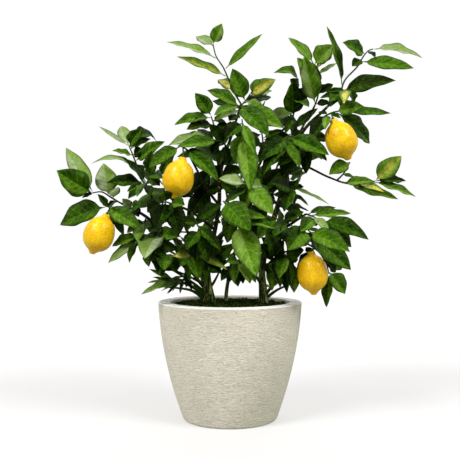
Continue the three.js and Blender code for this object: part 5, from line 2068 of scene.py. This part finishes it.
# ---- the tree
@dataclass
class Tree:
    """The stems, the sprays and the lemons."""

    stems: dict[str, Stem] = field(default_factory=dict)
    sprays: list[Spray] = field(default_factory=list)
    lemons: list[Lemon] = field(default_factory=list)

    @classmethod
    def read(cls) -> "Tree":
        """The tree from its layout.

        Returns:
            The tree, with nothing grown yet.
        """
        stems = {name: Stem.read(name, limbs) for name, limbs in STEMS.items()}
        sprays = [Spray.read(line, index, stems) for index, line in enumerate(SPRAYS)]
        return cls(stems, sprays, [Lemon.read(line) for line in LEMONS])

    def build(self, relief: GrowthTree) -> None:
        """Grows and dresses every stem, lemon and spray.

        Args:
            relief: The tree that roughens a surface.
        """
        bark, shoot = BarkFinish().material(), TwigFinish().material()
        blade, rind = LeafFinish().material(), LemonFinish().material()
        shoots, growth = shoot_tree(), spray_tree(BladeShape())
        for stem in self.stems.values():
            stem.build(shoots, bark)
        for lemon in self.lemons:
            lemon.build(relief, rind)
        thicket = Thicket()
        for spray in self.sprays:
            bed = spray.bed(SolidPoints(spray.name), thicket)
            for lemon in self.lemons:
                if lemon.spray == spray.name:
                    lemon.add_stalk(bed, spray)
            values = {"Shoot": shoot, "Blade": blade}
            piece = growth.run(spray.name + "_leaves", bed.mesh(spray.name), values)
            place_piece(piece, spray.name)


# ---- studio
@dataclass
class Studio:
    """The camera, the plain floor and the soft lights."""

    lens: float = 57.68
    sensor: float = 36
    floor_radius: float = 14
    floor_sides: int = 64
    floor_drop: float = 0.0002
    ambient: float = 0.58
    suns: tuple = (
        ("key", (-0.75, -0.75, 0.95), 2.2, 22), ("fill", (0.85, -0.7, 1.0), 2.0, 26),
        ("back", (0.1, 0.9, 0.9), 0.6, 50),
    )

    def camera(self) -> None:
        """Sets the camera where the layout's eye is."""
        data = bpy.data.cameras.new("camera")
        data.lens, data.sensor_width = self.lens, self.sensor
        data.clip_start, data.clip_end = 0.05, 60
        camera = link("camera", data)
        camera.location = (0, -EYE.distance, EYE.height)
        camera.rotation_euler = (math.pi / 2, 0, 0)
        bpy.context.scene.camera = camera

    def floor(self) -> None:
        """Lays the plain floor under the pot."""
        mesh = bpy.data.meshes.new("floor")
        reach, sides = self.floor_radius, self.floor_sides
        turns = [2 * math.pi * i / sides for i in range(sides)]
        rim = [(reach * math.cos(a), reach * math.sin(a), -self.floor_drop) for a in turns]
        mesh.from_pydata(rim, [], [tuple(range(sides))])
        mesh.materials.append(FloorFinish().material())
        link("floor", mesh)

    def sun(self, name: str, towards: Sequence[float], strength: float, spread: float) -> None:
        """Adds one soft light.

        Args:
            name: The light's name.
            towards: From the tree towards the light.
            strength: Its strength.
            spread: How wide it is, in degrees.
        """
        data = bpy.data.lights.new(name, "SUN")
        data.energy, data.angle = strength, math.radians(spread)
        light = link(name, data)
        light.rotation_euler = Vector(towards).to_track_quat("Z", "Y").to_euler()

    def air(self) -> None:
        """Fills the air with a dim even light, on a white background."""
        world = bpy.data.worlds.new("air")
        bpy.context.scene.world = world
        board = Board.cleared(world)
        seen = board.add("ShaderNodeLightPath", {}, {}, "Is Camera Ray")
        even = {"Color": (1, 0.99, 0.96, 1), "Strength": self.ambient}
        light = board.add("ShaderNodeBackground", {}, even)
        white = board.add("ShaderNodeBackground", {}, {"Color": (1, 1, 1, 1), "Strength": 1.0})
        both = board.add("ShaderNodeMixShader", {}, {0: seen, 1: light, 2: white})
        board.add("ShaderNodeOutputWorld", {}, {"Surface": both})

    def build(self) -> None:
        """Makes the floor and the lights, and sets how light turns into the picture."""
        self.floor()
        self.air()
        for sun in self.suns:
            self.sun(*sun)
        bpy.context.scene.view_settings.view_transform = "Standard"
        bpy.context.scene.view_settings.look = "None"


def main() -> None:
    """Builds the studio, the planter and the tree."""
    logging.basicConfig(level=logging.INFO, format="%(message)s")
    studio = Studio()
    studio.camera()
    studio.build()
    relief = relief_tree()
    Planter().build(relief)
    Tree.read().build(relief)


if __name__ == "__main__":
    main()
